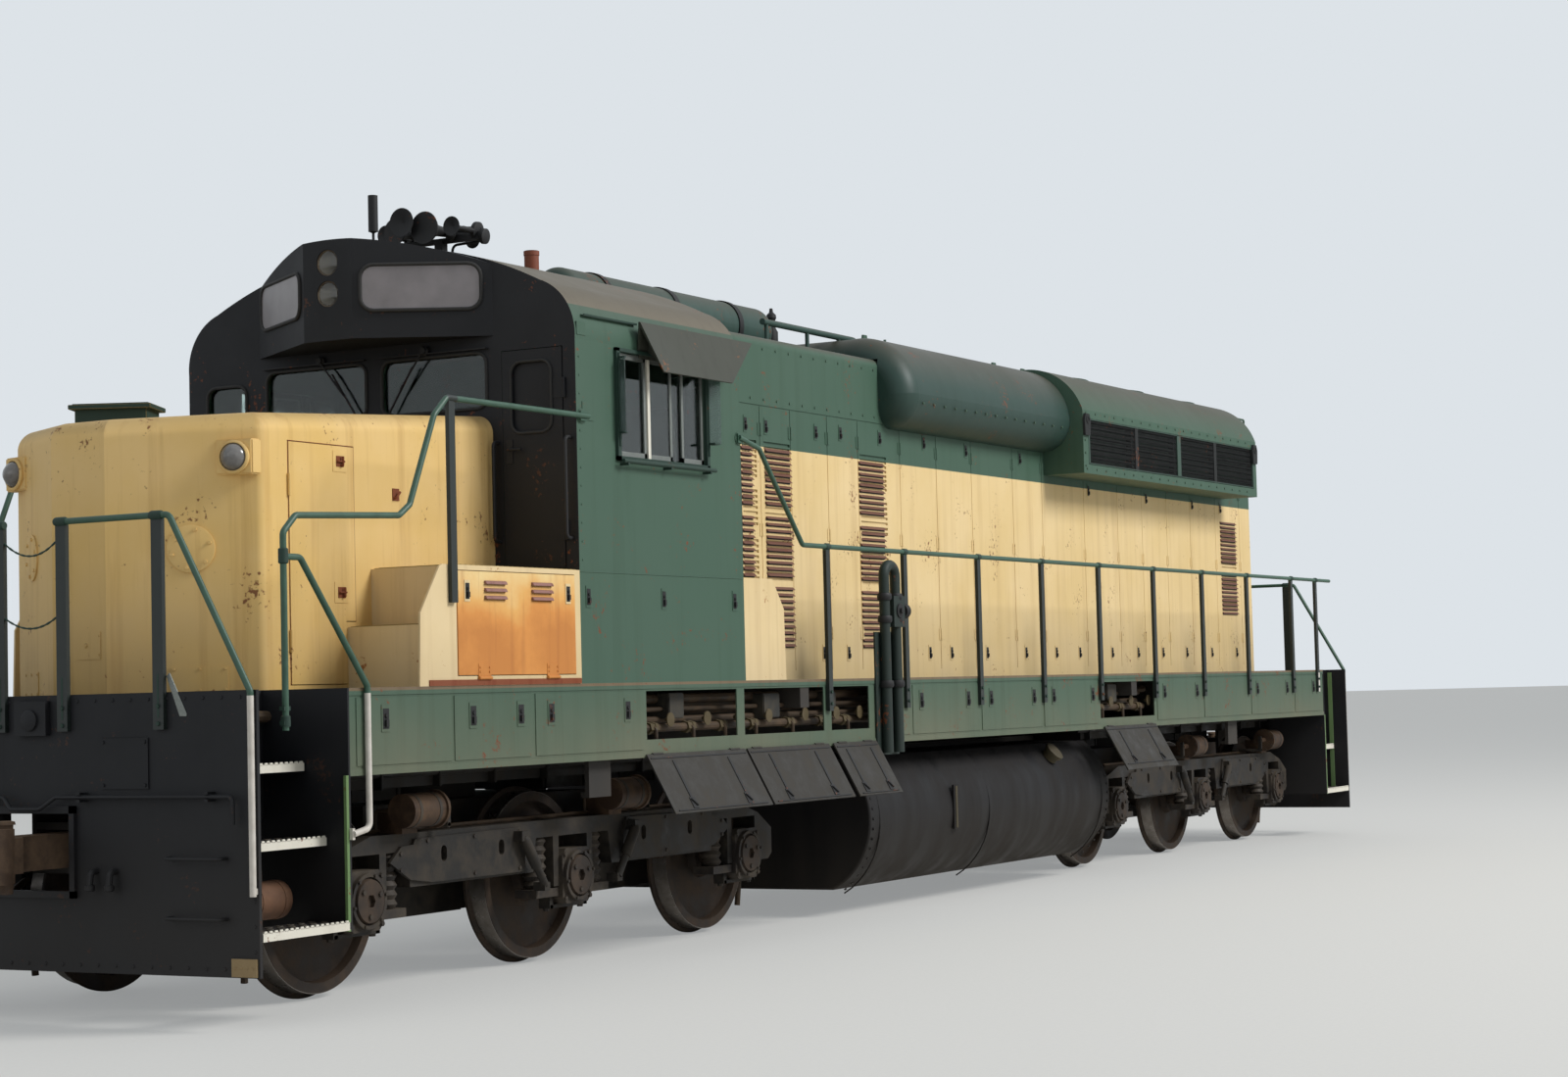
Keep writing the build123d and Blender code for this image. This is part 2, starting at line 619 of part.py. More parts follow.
# trumpets: x, z, bell radius, length, which way the bell faces along Y
horns = [(-290, 4600, 62, 230, -1), (-110, 4655, 92, 300, -1), (90, 4585, 55, 200, 1), (250, 4600, 62, 260, -1)]
roof_line = [(half_width, eave_z), (1425, 3968), (1240, 4110)]
with BuildPart() as horn_and_aerial:
    # aerial and vent stub: x, z0, z1, r
    for x, z0, z1, r in ((-560, 4200, 4690, 9), (-560, 4680, 4918, 32), (680, 4100, 4430, 45)):
        with Locations((x, horn_y, (z0 + z1) / 2)):
            Cylinder(r, z1 - z0)
    with Locations((-20, horn_y, horn_bar_z)):
        Box(640, 34, 34)
    with Locations((-20, horn_y, (4200 + horn_bar_z) / 2)):
        Box(60, 60, horn_bar_z - 4200)
    for x, z, r, length, out in horns:
        with BuildSketch(Plane(origin=(x, horn_y, z), x_dir=(1, 0, 0), z_dir=(0, 0, 1))):
            with BuildLine():
                l1 = Line((0, -out * 40), (r * 0.3, -out * 40))
                l2 = Line(l1 @ 1, (r * 0.3, out * length * 0.5))
                l3 = ThreePointArc(l2 @ 1, (r * 0.55, out * length * 0.88), (r, out * length))
                l4 = Line(l3 @ 1, (0, out * length * 0.9))
                Line(l4 @ 1, l1 @ 0)
            make_face()
        revolve(axis=Axis((x, horn_y, z), (0, 1, 0)))
        with Locations((x, horn_y, (horn_bar_z + z) / 2)):
            Box(26, 30, abs(z - horn_bar_z) + 20)
    with BuildSketch(Plane.XZ.offset(-cab_front_y)):
        with BuildLine():
            l1 = Line((-half_width, eave_z), (half_width, eave_z))
            l2 = ThreePointArc(l1 @ 1, roof_line[1], roof_line[2])
            l3 = ThreePointArc(l2 @ 1, (0, 4405), (-1240, 4110))
            ThreePointArc(l3 @ 1, (-1425, 3968), l1 @ 0)
        make_face()
    extrude(amount=-(cab_rear_y - cab_front_y), mode=Mode.SUBTRACT)
horn_and_aerial.part.label = "horn_and_aerial"
export_step(horn_and_aerial.part, "parts/horn_and_aerial.step")

# Main air reservoir lying on saddles behind the cab, held by two bands, and a guard hoop round its end.
tank_r = 190
tank_ends = (-3760, -980)
tank_z = hood_top_z + tank_r + 40
band_t = 8
hoop_r = 24
hoop_x = 450
hoop_y = (-1640, -30)
hoop_z = upper_top_z + 32
with BuildPart() as roof_reservoirs:
    with Locations(Location((0, (tank_ends[0] + tank_ends[1]) / 2, tank_z), (90, 0, 0))):
        Cylinder(tank_r, tank_ends[1] - tank_ends[0])
    fillet(roof_reservoirs.edges().filter_by(GeomType.CIRCLE), 70)
    for y in (-3300, -1500):
        with Locations(Location((0, y, tank_z), (90, 0, 0))):
            Cylinder(tank_r + band_t, 60)
        with Locations((0, y, hood_top_z + 60)):
            Box(320, 80, 120)
    # drain fitting on the rear end
    with Locations(Location((0, tank_ends[1] + 20, tank_z), (90, 0, 0))):
        Cylinder(35, 60)
with BuildPart() as guard_hoop:
    with BuildLine():
        FilletPolyline((-hoop_x, hoop_y[0], hoop_z), (-hoop_x, hoop_y[1], hoop_z), (hoop_x, hoop_y[1], hoop_z),
                       (hoop_x, hoop_y[0], hoop_z), radius=200)
    with BuildSketch(Plane(origin=(-hoop_x, hoop_y[0], hoop_z), z_dir=(0, 1, 0))):
        Circle(hoop_r)
    sweep()
    # its posts, two pairs on the hood and two on the hatch: y, foot z
    for y, foot_z in ((-1580, hood_top_z), (-950, hood_top_z), (-440, upper_top_z), (-240, upper_top_z)):
        for side in (-1, 1):
            with Locations((side * hoop_x, y, (foot_z + hoop_z) / 2)):
                Cylinder(16, hoop_z - foot_z)
with BuildPart() as on_the_roof:
    add(roof_reservoirs.part)
    add(guard_hoop.part)
on_the_roof.part.label = "roof_reservoirs"
export_step(on_the_roof.part, "parts/roof_reservoirs.step")

# Window awnings: bent sheets held at the wall's top edge, narrower at the bottom.
awning_top_z = 3895
awning_low = (1640, 3585)
awning_t = 10
# corners seen from the side: y, z
awning_corners = [(-5112, awning_top_z + 5), (-3721, awning_top_z + 5), (-4186, 3580), (-5010, 3580)]
with BuildPart() as awnings:
    for side in (-1, 1):
        with BuildSketch(Plane.XZ.offset(-awning_corners[0][0])):
            with BuildLine():
                Polyline((side * half_width, 3680), (side * half_width, 3734), (side * (half_width + 14), 3770),
                         (side * (half_width + 48), awning_top_z), (side * (half_width + 60), awning_top_z),
                         (side * (awning_low[0] + awning_t), awning_low[1] + 3),
                         (side * awning_low[0], awning_low[1]), (side * (half_width + 54), awning_top_z - 30),
                         (side * (half_width + 22), 3760), (side * (half_width + 8), 3725),
                         (side * (half_width + 8), 3680), close=True)
            make_face()
        extrude(amount=-(awning_corners[1][0] - awning_corners[0][0]))
    with BuildSketch(Plane.YZ.offset(-2000)):
        with BuildLine():
            Polyline(*awning_corners, close=True)
        make_face()
    extrude(amount=4000, mode=Mode.INTERSECT)
awnings.part.label = "awnings"
export_step(awnings.part, "parts/awnings.step")

# Fuel filler post on the left walkway: an inverted U of pipe over a plate with a valve body.
post_pipe_r = 38
post_pipe_y = (-1893, -1722)
post_plate = ((-1990, -1652), (1145, 2015))
post_plate_t = 12
post_pipe_x = half_width + post_plate_t + post_pipe_r - 4
post_pipe_top = 2490
with BuildPart() as fuel_filler:
    with Locations((half_width + post_plate_t / 2, (post_plate[0][0] + post_plate[0][1]) / 2,
                    (post_plate[1][0] + post_plate[1][1]) / 2)):
        Box(post_plate_t, post_plate[0][1] - post_plate[0][0], post_plate[1][1] - post_plate[1][0])
    with BuildLine():
        FilletPolyline((post_pipe_x, post_pipe_y[0], 1160), (post_pipe_x, post_pipe_y[0], post_pipe_top),
                       (post_pipe_x, post_pipe_y[1], post_pipe_top), (post_pipe_x, post_pipe_y[1], 1160), radius=80)
    with BuildSketch(Plane.XY.offset(1160)):
        with Locations((post_pipe_x, post_pipe_y[0])):
            Circle(post_pipe_r)
    sweep()
    with Locations((post_pipe_x, (post_pipe_y[0] + post_pipe_y[1]) / 2 + 60, 2160)):
        Box(90, 170, 220)
fuel_filler.part.label = "fuel_filler"
export_step(fuel_filler.part, "parts/fuel_filler.step")

# Handrails: one node a side, and one for the two ends.
# left and right runs: points (y, z)
side_runs = [[(-8500, 1480), (-8500, 2480), (-8400, 2570), (-7530, 2606), (-7434, 2668), (-7200, 3170),
              (-7080, 3275), (-5650, 3276)],
             [(-8500, 2357), (-8368, 2357), (-7830, 1697), (-7830, 955), (-7967, 931)],
             [(-3860, 3270), (-3599, 3212), (-3036, rail_z), (8200, rail_z)]]
stanchion_ys = [-2687, -1504, -252, 941, 2115, 3347, 4540, 5733, 7013, 7760]
for side, name in ((1, "handrail_left"), (-1, "handrail_right")):
    with BuildPart() as handrail:
        for run in side_runs:
            path = [(side * rail_x, y, z) for y, z in run]
            with BuildLine():
                FilletPolyline(*path, radius=rail_bend)
            with BuildSketch(Plane(origin=path[0], z_dir=Vector(*path[1]) - Vector(*path[0]))):
                Circle(rail_r)
            sweep()
        for y in stanchion_ys:
            with Locations((side * (half_width + post_t / 2), y, (1470 + rail_z) / 2)):
                Box(post_t, post_w, rail_z - 1470)
        with Locations((side * (half_width + post_t / 2), -7040, (2146 + 3275) / 2)):
            Box(post_t, post_w, 3275 - 2146)
        for y, z in ((-5700, 3276), (-3840, 3265)):
            with Locations((side * (half_width + rail_x) / 2, y, z)):
                Box(rail_x - half_width, 60, 60)
        with Locations((side * (half_width + rail_x) / 2, -7964, 931)):
            Box(rail_x - half_width, 20, 60)
    handrail.part.label = name
    export_step(handrail.part, "parts/" + name + ".step")

end_posts = (218, 868)
with BuildPart() as end_rails:
    for end in (-1, 1):
        rail_y = end * (platform_half + rail_r + rail_off)
        for side in (-1, 1):
            path = [(side * end_posts[0], rail_y, 2590), (side * 950, rail_y, 2590), (side * 1462, rail_y, 1683),
                    (side * 1462, rail_y, 664)]
            with BuildLine():
                FilletPolyline(*path, radius=rail_bend)
            with BuildSketch(Plane(origin=path[0], z_dir=(side, 0, 0))):
                Circle(rail_r)
            sweep()
            for x in end_posts:
                with Locations((side * x, end * (platform_half + post_t / 2), (1500 + 2590) / 2)):
                    Box(70, post_t, 2590 - 1500)
            with Locations((side * 1462, end * (platform_half + (rail_r + rail_off) / 2), 690)):
                Box(30, rail_r + rail_off, 30)
end_rails.part.label = "end_rails"
export_step(end_rails.part, "parts/end_rails.step")

# Trucks

motor_half_x = 440
motor_gap = 120             # the motor's case starts this far from the axle's middle
journal_x = (frame_in_x + 5, frame_in_x + frame_t + 25)
frame_end = 380             # from the outer axles to the frame's ends
beam_low_z = 580            # lower edge between the axles
arch_z = 780                # underside of the frame over a journal box
arch_half = 395
leg_in = 155                # pedestal legs, from the axle's middle
leg_out = 215
leg_low_z = 480
cover_t = 20
# cover plate between two axles: distance from the truck's middle, z
cover_outline = [(1845, 726), (1740, 810), (1630, 815), (1615, 845), (585, 855), (540, 748), (543, 594),
                 (1455, 596), (1660, 622)]
cover_holes = (780, 1345)
# one half of the side frame's outline, over the middle axle to the outer end: y, z
frame_outline = [(0, frame_top_z), (axle_pitch - 80, frame_top_z), (axle_pitch + 200, 800),
                 (axle_pitch + frame_end, 690), (axle_pitch + frame_end, 520),
                 (axle_pitch + frame_end - 50, leg_low_z), (axle_pitch + leg_in, leg_low_z),
                 (axle_pitch + leg_in, arch_z), (axle_pitch - leg_in, arch_z), (axle_pitch - leg_in, leg_low_z),
                 (axle_pitch - leg_out, leg_low_z), (axle_pitch - leg_out, arch_z),
                 (axle_pitch - arch_half, arch_z), (axle_pitch - arch_half - 35, beam_low_z),
                 (arch_half + 35, beam_low_z), (arch_half, arch_z), (leg_out, arch_z), (leg_out, leg_low_z),
                 (leg_in, leg_low_z), (leg_in, arch_z)]
# springs on the journal boxes' wings: distance from the truck's middle
spring_ys = [-axle_pitch + 300, -300, 300, axle_pitch - 300]
spring_r = 72
spring_coils = 6
wing_z = (420, 470)
box_half_h = 165
cap_r = 125                 # turning cap on the axle's end
cylinder_x = frame_in_x + frame_t + 100
cylinder_z = 1010
shoe_x = (gauge_back + 40, gauge_back + 130)
shoe_r = (tread_r + 12, tread_r + 62)
for end, tag in ((-1, "front"), (1, "rear")):
    yc = end * truck_y
    # Cast outside frames, arched over the journal boxes with pedestal legs, and cover plates with
    # two oval holes between the axles; transoms and the centre bolster join the two sides.
    with BuildPart() as truck_frame:
        for side in (-1, 1):
            with BuildSketch(Plane.YZ.offset(side * frame_in_x)):
                with BuildLine():
                    Polyline(*[(yc + y, z) for y, z in frame_outline],
                             *[(yc - y, z) for y, z in reversed(frame_outline[1:])], close=True)
                make_face()
            extrude(amount=side * frame_t)
            with BuildSketch(Plane.YZ.offset(side * (frame_in_x + frame_t))):
                for toward in (-1, 1):
                    with BuildLine():
                        Polyline(*[(yc + toward * y, z) for y, z in cover_outline], close=True)
                    make_face()
            extrude(amount=side * cover_t)
            with BuildSketch(Plane.YZ.offset(side * (frame_in_x + frame_t + cover_t))):
                for toward in (-1, 1):
                    for y in cover_holes:
                        with Locations((yc + toward * y, 750)):
                            SlotOverall(90, 55, rotation=90)
            extrude(amount=-side * 60, mode=Mode.SUBTRACT)
        # transoms between the axles, and the bolster that carries the centre plate
        for dy in (-axle_pitch / 2, axle_pitch / 2):
            with Locations((0, yc + dy, 740)):
                Box(2 * frame_in_x, 300, 240)
        with Locations((0, yc, (840 + truck_top_z) / 2)):
            Box(900, axle_pitch + 300, truck_top_z - 840)
    truck_frame.part.label = "truck_frame_" + tag
    export_step(truck_frame.part, "parts/truck_frame_" + tag + ".step")

    # Journal boxes between the pedestal legs, with wings that carry coil springs.
    with BuildPart() as journal_boxes:
        for side in (-1, 1):
            for k in (-1, 0, 1):
                y_axle = yc + k * axle_pitch
                with BuildSketch(Plane.YZ.offset(side * journal_x[0])) as box_face:
                    with Locations((y_axle, axle_z)):
                        Rectangle(2 * leg_in, 2 * box_half_h)
                    chamfer(box_face.vertices(), 40)
                extrude(amount=side * (journal_x[1] - journal_x[0]))
                # the wings reach under the springs, on an outer axle only towards the middle
                wing = (-arch_half if k != -1 else -leg_in, arch_half if k != 1 else leg_in)
                with Locations((side * (frame_in_x + frame_t / 2), y_axle + (wing[0] + wing[1]) / 2,
                                (wing_z[0] + wing_z[1]) / 2)):
                    Box(frame_t - 10, wing[1] - wing[0], wing_z[1] - wing_z[0])
                with Locations(Location((side * (journal_x[1] + 13), y_axle, axle_z), (0, 90, 0))):
                    Cylinder(cap_r + 27, 26)
                    Cylinder(cap_r + 6, 26, mode=Mode.SUBTRACT)
                with Locations(Location((side * (frame_in_x + frame_t / 2), y_axle, axle_z), (0, 90, 0))):
                    Cylinder(journal_r + fit, 400, mode=Mode.SUBTRACT)
            # coil springs, each turned as one body with a ridge for every coil
            for y in spring_ys:
                coil = (arch_z - wing_z[1]) / spring_coils
                ridge = [(spring_r - 16, 0)]
                for i in range(spring_coils):
                    ridge += [(spring_r, (i + 0.5) * coil), (spring_r - 16, (i + 1) * coil)]
                with BuildSketch(Plane(origin=(side * (frame_in_x + frame_t / 2), yc + y, wing_z[1]),
                                       x_dir=(1, 0, 0), z_dir=(0, -1, 0))):
                    with BuildLine():
                        Polyline((0, 0), *ridge, (0, arch_z - wing_z[1]), close=True)
                    make_face()
                revolve(axis=Axis((side * (frame_in_x + frame_t / 2), yc + y, 0), (0, 0, 1)))
    journal_boxes.part.label = "journal_boxes_" + tag
    export_step(journal_boxes.part, "parts/journal_boxes_" + tag + ".step")

    # Brake cylinders on top of the frame, and a shoe hung beside each wheel's tread.
    with BuildPart() as brake_gear:
        for side in (-1, 1):
            for y in (yc + end * 1690, yc - end * 420):
                # barrel, pressure head and push rod, on a bracket from the frame: from y, length, radius
                for from_y, length, r in ((0, 300, 95), (-end * 150, 20, 108), (-end * 210, 120, 22)):
                    with Locations(Location((side * cylinder_x, y + from_y, cylinder_z), (90, 0, 0))):
                        Cylinder(r, length)
                with Locations((side * (frame_in_x + frame_t / 2 + 40), y, (frame_top_z + cylinder_z) / 2)):
                    Box(frame_t, 140, cylinder_z - frame_top_z)
            for k, toward in ((-1, 1), (0, 1), (1, -1)):
                y_axle = yc + k * axle_pitch
                with BuildSketch(Plane.YZ.offset(side * shoe_x[0])):
                    with Locations((y_axle, axle_z)):
                        Circle(shoe_r[1])
                        Circle(shoe_r[0], mode=Mode.SUBTRACT)
                    with Locations((y_axle + toward * shoe_r[1], axle_z + 130)):
                        Rectangle(300, 260, mode=Mode.INTERSECT)
                extrude(amount=side * (shoe_x[1] - shoe_x[0]))
                with Locations((side * (shoe_x[0] + frame_in_x) / 2, y_axle + toward * (shoe_r[0] + 35),
                                axle_z + 120)):
                    Box(frame_in_x - shoe_x[0], 60, 60)
    brake_gear.part.label = "brake_gear_" + tag
    export_step(brake_gear.part, "parts/brake_gear_" + tag + ".step")

    # Nose-hung motors: axle, and the way to the transom that carries the motor's nose.
    with BuildPart() as traction_motors:
        for k, toward in ((-1, 1), (0, end), (1, -1)):
            y_axle = yc + k * axle_pitch
            reach = axle_pitch / 2 - 150
            with Locations((0, y_axle + toward * (reach + motor_gap) / 2, 560)):
                Box(2 * motor_half_x, reach - motor_gap, 440)
            with Locations(Location((0, y_axle, axle_z), (0, 90, 0))):
                Cylinder(190, 2 * motor_half_x)
            with Locations(Location((0, y_axle, axle_z), (0, 90, 0))):
                Cylinder(axle_r + 5, 2 * motor_half_x + 20, mode=Mode.SUBTRACT)
    traction_motors.part.label = "traction_motors_" + tag
    export_step(traction_motors.part, "parts/traction_motors_" + tag + ".step")

    # Axle with two dished wheels and its turning end caps, one revolved profile.
    # one half of it, from the axle's middle outwards: x, radius
    half_profile = [(0, axle_r), (gauge_back - 14, axle_r), (gauge_back - 14, 150), (gauge_back + 56, 165),
                    (gauge_back + 50, tread_r - 80), (gauge_back, tread_r - 60), (gauge_back, axle_z - 8),
                    (gauge_back + 8, axle_z), (gauge_back + 24, axle_z), (gauge_back + 34, tread_r),
                    (gauge_back + wheel_w, tread_r - 6), (gauge_back + wheel_w, tread_r - 60),
                    (gauge_back + 88, tread_r - 70), (gauge_back + 96, 165), (gauge_back + wheel_w + 12, 150),
                    (gauge_back + wheel_w + 12, axle_r), (journal_x[0] - 10, axle_r), (journal_x[0] - 10, journal_r),
                    (journal_x[1] + 5, journal_r), (journal_x[1] + 5, cap_r), (journal_x[1] + 35, cap_r - 8),
                    (journal_x[1] + 35, 0)]
    for k in (-1, 0, 1):
        node = "wheelset_" + tag + "_" + str(k + 2)
        with BuildPart() as wheelset:
            with BuildSketch(Plane.XY):
                with BuildLine():
                    Polyline(*half_profile, *[(-x, r) for x, r in reversed(half_profile[1:])], close=True)
                make_face()
            revolve(axis=Axis.X)
            for side in (-1, 1):
                with BuildSketch(Plane.YZ.offset(side * (journal_x[1] + 35))):
                    RegularPolygon(38, 6)
                extrude(amount=-side * 25, mode=Mode.SUBTRACT)
        placed = wheelset.part.moved(Location((0, yc + k * axle_pitch, axle_z)))
        placed.label = node
        export_step(placed, "parts/" + node + ".step")

# Couplers: a shank on the draft pin and a head with a guard arm and a curved knuckle.
shank_half = 85
head_low = (8890, 8985)     # where the shank widens to the head
with BuildPart() as coupler_body:
    with BuildSketch(Plane.XY.offset(coupler_z - shank_h / 2)):
        with BuildLine():
            l1 = Polyline((-shank_half, pin_y - 90), (shank_half, pin_y - 90), (shank_half, head_low[0]),
                          (190, head_low[1]), (215, 9120))
            l2 = ThreePointArc(l1 @ 1, (205, 9180), (165, 9200))
            l3 = ThreePointArc(l2 @ 1, (95, 9130), (20, 9110))
            l4 = ThreePointArc(l3 @ 1, (-60, 9110), (-80, 9050))
            l5 = Polyline(l4 @ 1, (-190, 9050), (-190, head_low[1]), (-shank_half, head_low[0]),
                          (-shank_half, pin_y - 90))
        make_face()
    extrude(amount=shank_h)
    # the knuckle turns on its own pin in the head, and is drawn shut
    with BuildSketch(Plane.XY.offset(coupler_z - 140)):
        with BuildLine():
            l1 = ThreePointArc((-190, 9045), (-185, 9190), (-110, coupler_face_y))
            l2 = Line(l1 @ 1, (-20, coupler_face_y))
            l3 = ThreePointArc(l2 @ 1, (10, 9215), (-15, 9180))
            l4 = ThreePointArc(l3 @ 1, (-80, 9140), (-80, 9045))
            Line(l4 @ 1, l1 @ 0)
        make_face()
    extrude(amount=280)
    with Locations((-140, 9060, coupler_z)):
        Cylinder(40, 320)
    with Locations((0, pin_y, coupler_z)):
        Cylinder(pin_r + fit, 400, mode=Mode.SUBTRACT)
for end, tag in ((-1, "front"), (1, "rear")):
    turned = coupler_body.part if end > 0 else coupler_body.part.rotate(Axis.Z, 180)
    turned.label = "coupler_" + tag
    export_step(turned, "parts/coupler_" + tag + ".step")

# Hinged pieces

# Sill flaps hanging open on the left side, drawn shut and turned down: name, y0, y1
flaps = [("sill_flap_1", -5070, -3868), ("sill_flap_2", -3840, -2722), ("sill_flap_3", -2652, -2010),
         ("sill_flap_4", 2160, 3310)]
knuckle_r = 9
knuckle_gap = 0.3
hinge_x = half_width + knuckle_r + knuckle_gap
flap_hinge_z = sill_low_z + 18
flap_h = 412
flap_t = 10
flap_open = 151             # degrees from shut
for name, y0, y1 in flaps:
    with BuildPart() as flap:
        with Locations((half_width + 5 + flap_t / 2, (y0 + y1) / 2, flap_hinge_z + flap_h / 2)):
            Box(flap_t, y1 - y0, flap_h)
        for y in (y0 + 130, y1 - 130):
            with Locations(Location((hinge_x, y, flap_hinge_z), (90, 0, 0))):
                Cylinder(knuckle_r, 120)
    hung = flap.part.rotate(Axis((hinge_x, 0, flap_hinge_z), (0, 1, 0)), flap_open)
    hung.label = name
    export_step(hung, "parts/" + name + ".step")

# Nose side door, hinged at its front edge.
nose_door_t = 28
with BuildPart() as nose_door:
    with BuildSketch(Plane.YZ.offset(nose_half + 4)):
        with BuildLine():
            Polyline(*nose_door_outline, close=True)
        make_face()
        offset(amount=-door_gap, kind=Kind.INTERSECTION, mode=Mode.REPLACE)
    extrude(amount=-nose_door_t)
    for z in (1950, 2800):
        with Locations((nose_half + knuckle_r + knuckle_gap, -7684 - knuckle_r / 2, z)):
            Cylinder(knuckle_r, 120)
nose_door.part.label = "nose_door"
export_step(nose_door.part, "parts/nose_door.step")

# Louvred doors of the side boxes, a little proud, hinged at the bottom edge.
door_proud = 4
leaf_gap = 1                # hinge leaves stand this far off the wall
leaf_t = 6
hinge_down = 12             # hinge axis beyond the opening's edge
for side, name in ((1, "box_door_left"), (-1, "box_door_right")):
    with BuildPart() as box_door:
        with BuildSketch(Plane.YZ.offset(side * (half_width - box_door_t))):
            with Locations(louvre_door_at):
                Rectangle(louvre_door_size[0] - 2 * door_gap, louvre_door_size[1] - 2 * door_gap)
        extrude(amount=side * (box_door_t + door_proud))
        with BuildSketch(Plane.YZ.offset(side * (half_width + door_proud))):
            for y in (-6630, -6162):
                for z in (2176, 2218, 2260):
                    with Locations((y, z)):
                        Rectangle(205, 22)
        extrude(amount=-side * 10, mode=Mode.SUBTRACT)
        axis_z = louvre_door_at[1] - louvre_door_size[1] / 2 - hinge_down
        for y in (louvre_door_at[0] - 342, louvre_door_at[0] + 342):
            with Locations(Location((side * hinge_x, y, axis_z), (90, 0, 0))):
                Cylinder(knuckle_r, 120)
            with Locations((side * (half_width + leaf_gap + leaf_t / 2), y, axis_z + 40)):
                Box(leaf_t, 120, 80)
    box_door.part.label = name
    export_step(box_door.part, "parts/" + name + ".step")

# Cab doors on the left, hinged at the outer edge, with a window each: name, outer face y, way out
for name, y, out in (("cab_door_front", cab_front_y, -1), ("cab_door_rear", cab_rear_y, 1)):
    with BuildPart() as cab_door:
        with BuildSketch(Plane.XZ.offset(-y - out * door_proud)):
            with Locations(((door_x[0] + door_x[1]) / 2, (door_low_z + door_high_z) / 2)):
                Rectangle(door_x[1] - door_x[0] - 2 * door_gap, door_high_z - door_low_z - 2 * door_gap)
            with Locations(front_window_at):
                RectangleRounded(*door_window_size, window_round, mode=Mode.SUBTRACT)
        extrude(amount=out * (cab_door_t + door_proud))
        with Locations((front_window_at[0], y - out * cab_door_t / 2, front_window_at[1])):
            Box(door_window_size[0], pane_t, door_window_size[1])
        for z in (2600, 3450):
            with Locations((door_x[1] + hinge_down, y + out * (knuckle_r + knuckle_gap), z)):
                Cylinder(knuckle_r, 120)
            with Locations((door_x[1] + hinge_down - 40, y + out * (leaf_gap + leaf_t / 2), z)):
                Box(80, leaf_t, 120)
    cab_door.part.label = name
    export_step(cab_door.part, "parts/" + name + ".step")

# Radiator fans: a hub on the stub shaft and six pitched blades.
fan_z = fan_well_z + 50
blade_pitch = 25
for n, y in enumerate(fan_ys, 1):
    name = "fan_" + str(n)
    with BuildPart() as fan:
        with Locations((0, y, fan_z)):
            Cylinder(130, 60)
            with PolarLocations(310, 6):
                with Locations(Location((0, 0, 0), (blade_pitch, 0, 0))):
                    Box(460, 150, 8)
        with Locations((0, y, fan_z)):
            Cylinder(stub_r + fit, 200, mode=Mode.SUBTRACT)
    fan.part.label = name
    export_step(fan.part, "parts/" + name + ".step")
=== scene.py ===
import math

import bmesh
import bpy
from mathutils import Matrix, Vector


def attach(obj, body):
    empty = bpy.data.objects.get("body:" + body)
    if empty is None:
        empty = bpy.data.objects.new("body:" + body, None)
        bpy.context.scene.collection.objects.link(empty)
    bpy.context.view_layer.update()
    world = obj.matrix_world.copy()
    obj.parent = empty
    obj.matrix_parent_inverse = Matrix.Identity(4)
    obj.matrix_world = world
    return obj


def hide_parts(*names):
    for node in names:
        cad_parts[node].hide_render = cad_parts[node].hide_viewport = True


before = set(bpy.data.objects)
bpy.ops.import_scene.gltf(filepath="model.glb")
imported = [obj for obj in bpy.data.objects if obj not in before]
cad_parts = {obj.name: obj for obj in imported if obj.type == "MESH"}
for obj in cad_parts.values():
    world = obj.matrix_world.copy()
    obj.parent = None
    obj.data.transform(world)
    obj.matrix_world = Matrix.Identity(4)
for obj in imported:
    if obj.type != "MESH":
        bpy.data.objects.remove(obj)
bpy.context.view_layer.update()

# Camera: low in the yard, ahead and to the left of the locomotive, with a short telephoto lens.
# The picture is 36 mm wide, so the lens length gives the angle of view.
eye = Vector((10.5521, -19.5952, 1.6191))
yaw, pitch, roll = (math.radians(a) for a in (29.02845, 3.10474, -1.44958))
forward = Vector((-math.sin(yaw) * math.cos(pitch), math.cos(yaw) * math.cos(pitch), math.sin(pitch)))
level_right = Vector((math.cos(yaw), math.sin(yaw), 0))
level_up = level_right.cross(forward)
right = math.cos(roll) * level_right + math.sin(roll) * level_up
up = math.cos(roll) * level_up - math.sin(roll) * level_right
lens = bpy.data.cameras.new("camera")
lens.lens = 64.23
lens.sensor_width = 36
lens.sensor_fit = "HORIZONTAL"
lens.clip_end = 300
camera = bpy.data.objects.new("camera", lens)
camera.matrix_world = Matrix.Translation(eye) @ Matrix((right, up, -forward)).transposed().to_4x4()
bpy.context.scene.collection.objects.link(camera)
bpy.context.scene.camera = camera
bpy.context.scene.view_settings.view_transform = "Standard"


# Studio: a matt pale floor under a plain pale sky, one large soft lamp high on the
# locomotive's left and a weaker one ahead of it.
def linear(colour):
    """An sRGB hex colour as the linear RGBA that the nodes take."""
    channels = [int(colour[i:i + 2], 16) / 255 for i in (1, 3, 5)]
    return [c / 12.92 if c <= 0.04045 else ((c + 0.055) / 1.055) ** 2.4 for c in channels] + [1.0]


def feed(node, inputs):
    """Gives inputs of a node their values, hex colours or links."""
    for socket, value in dict(inputs).items():
        if isinstance(value, bpy.types.NodeSocket):
            node.id_data.links.new(value, node.inputs[socket])
        else:
            node.inputs[socket].default_value = linear(value) if isinstance(value, str) else value


def add(tree, kind, inputs=(), out=0, **settings):
    """Adds a shader node with its settings, input values and links, and returns one of its outputs."""
    node = tree.nodes.new("ShaderNode" + kind)
    for key, value in settings.items():
        setattr(node, key, value)
    feed(node, inputs)
    return node.outputs[out]


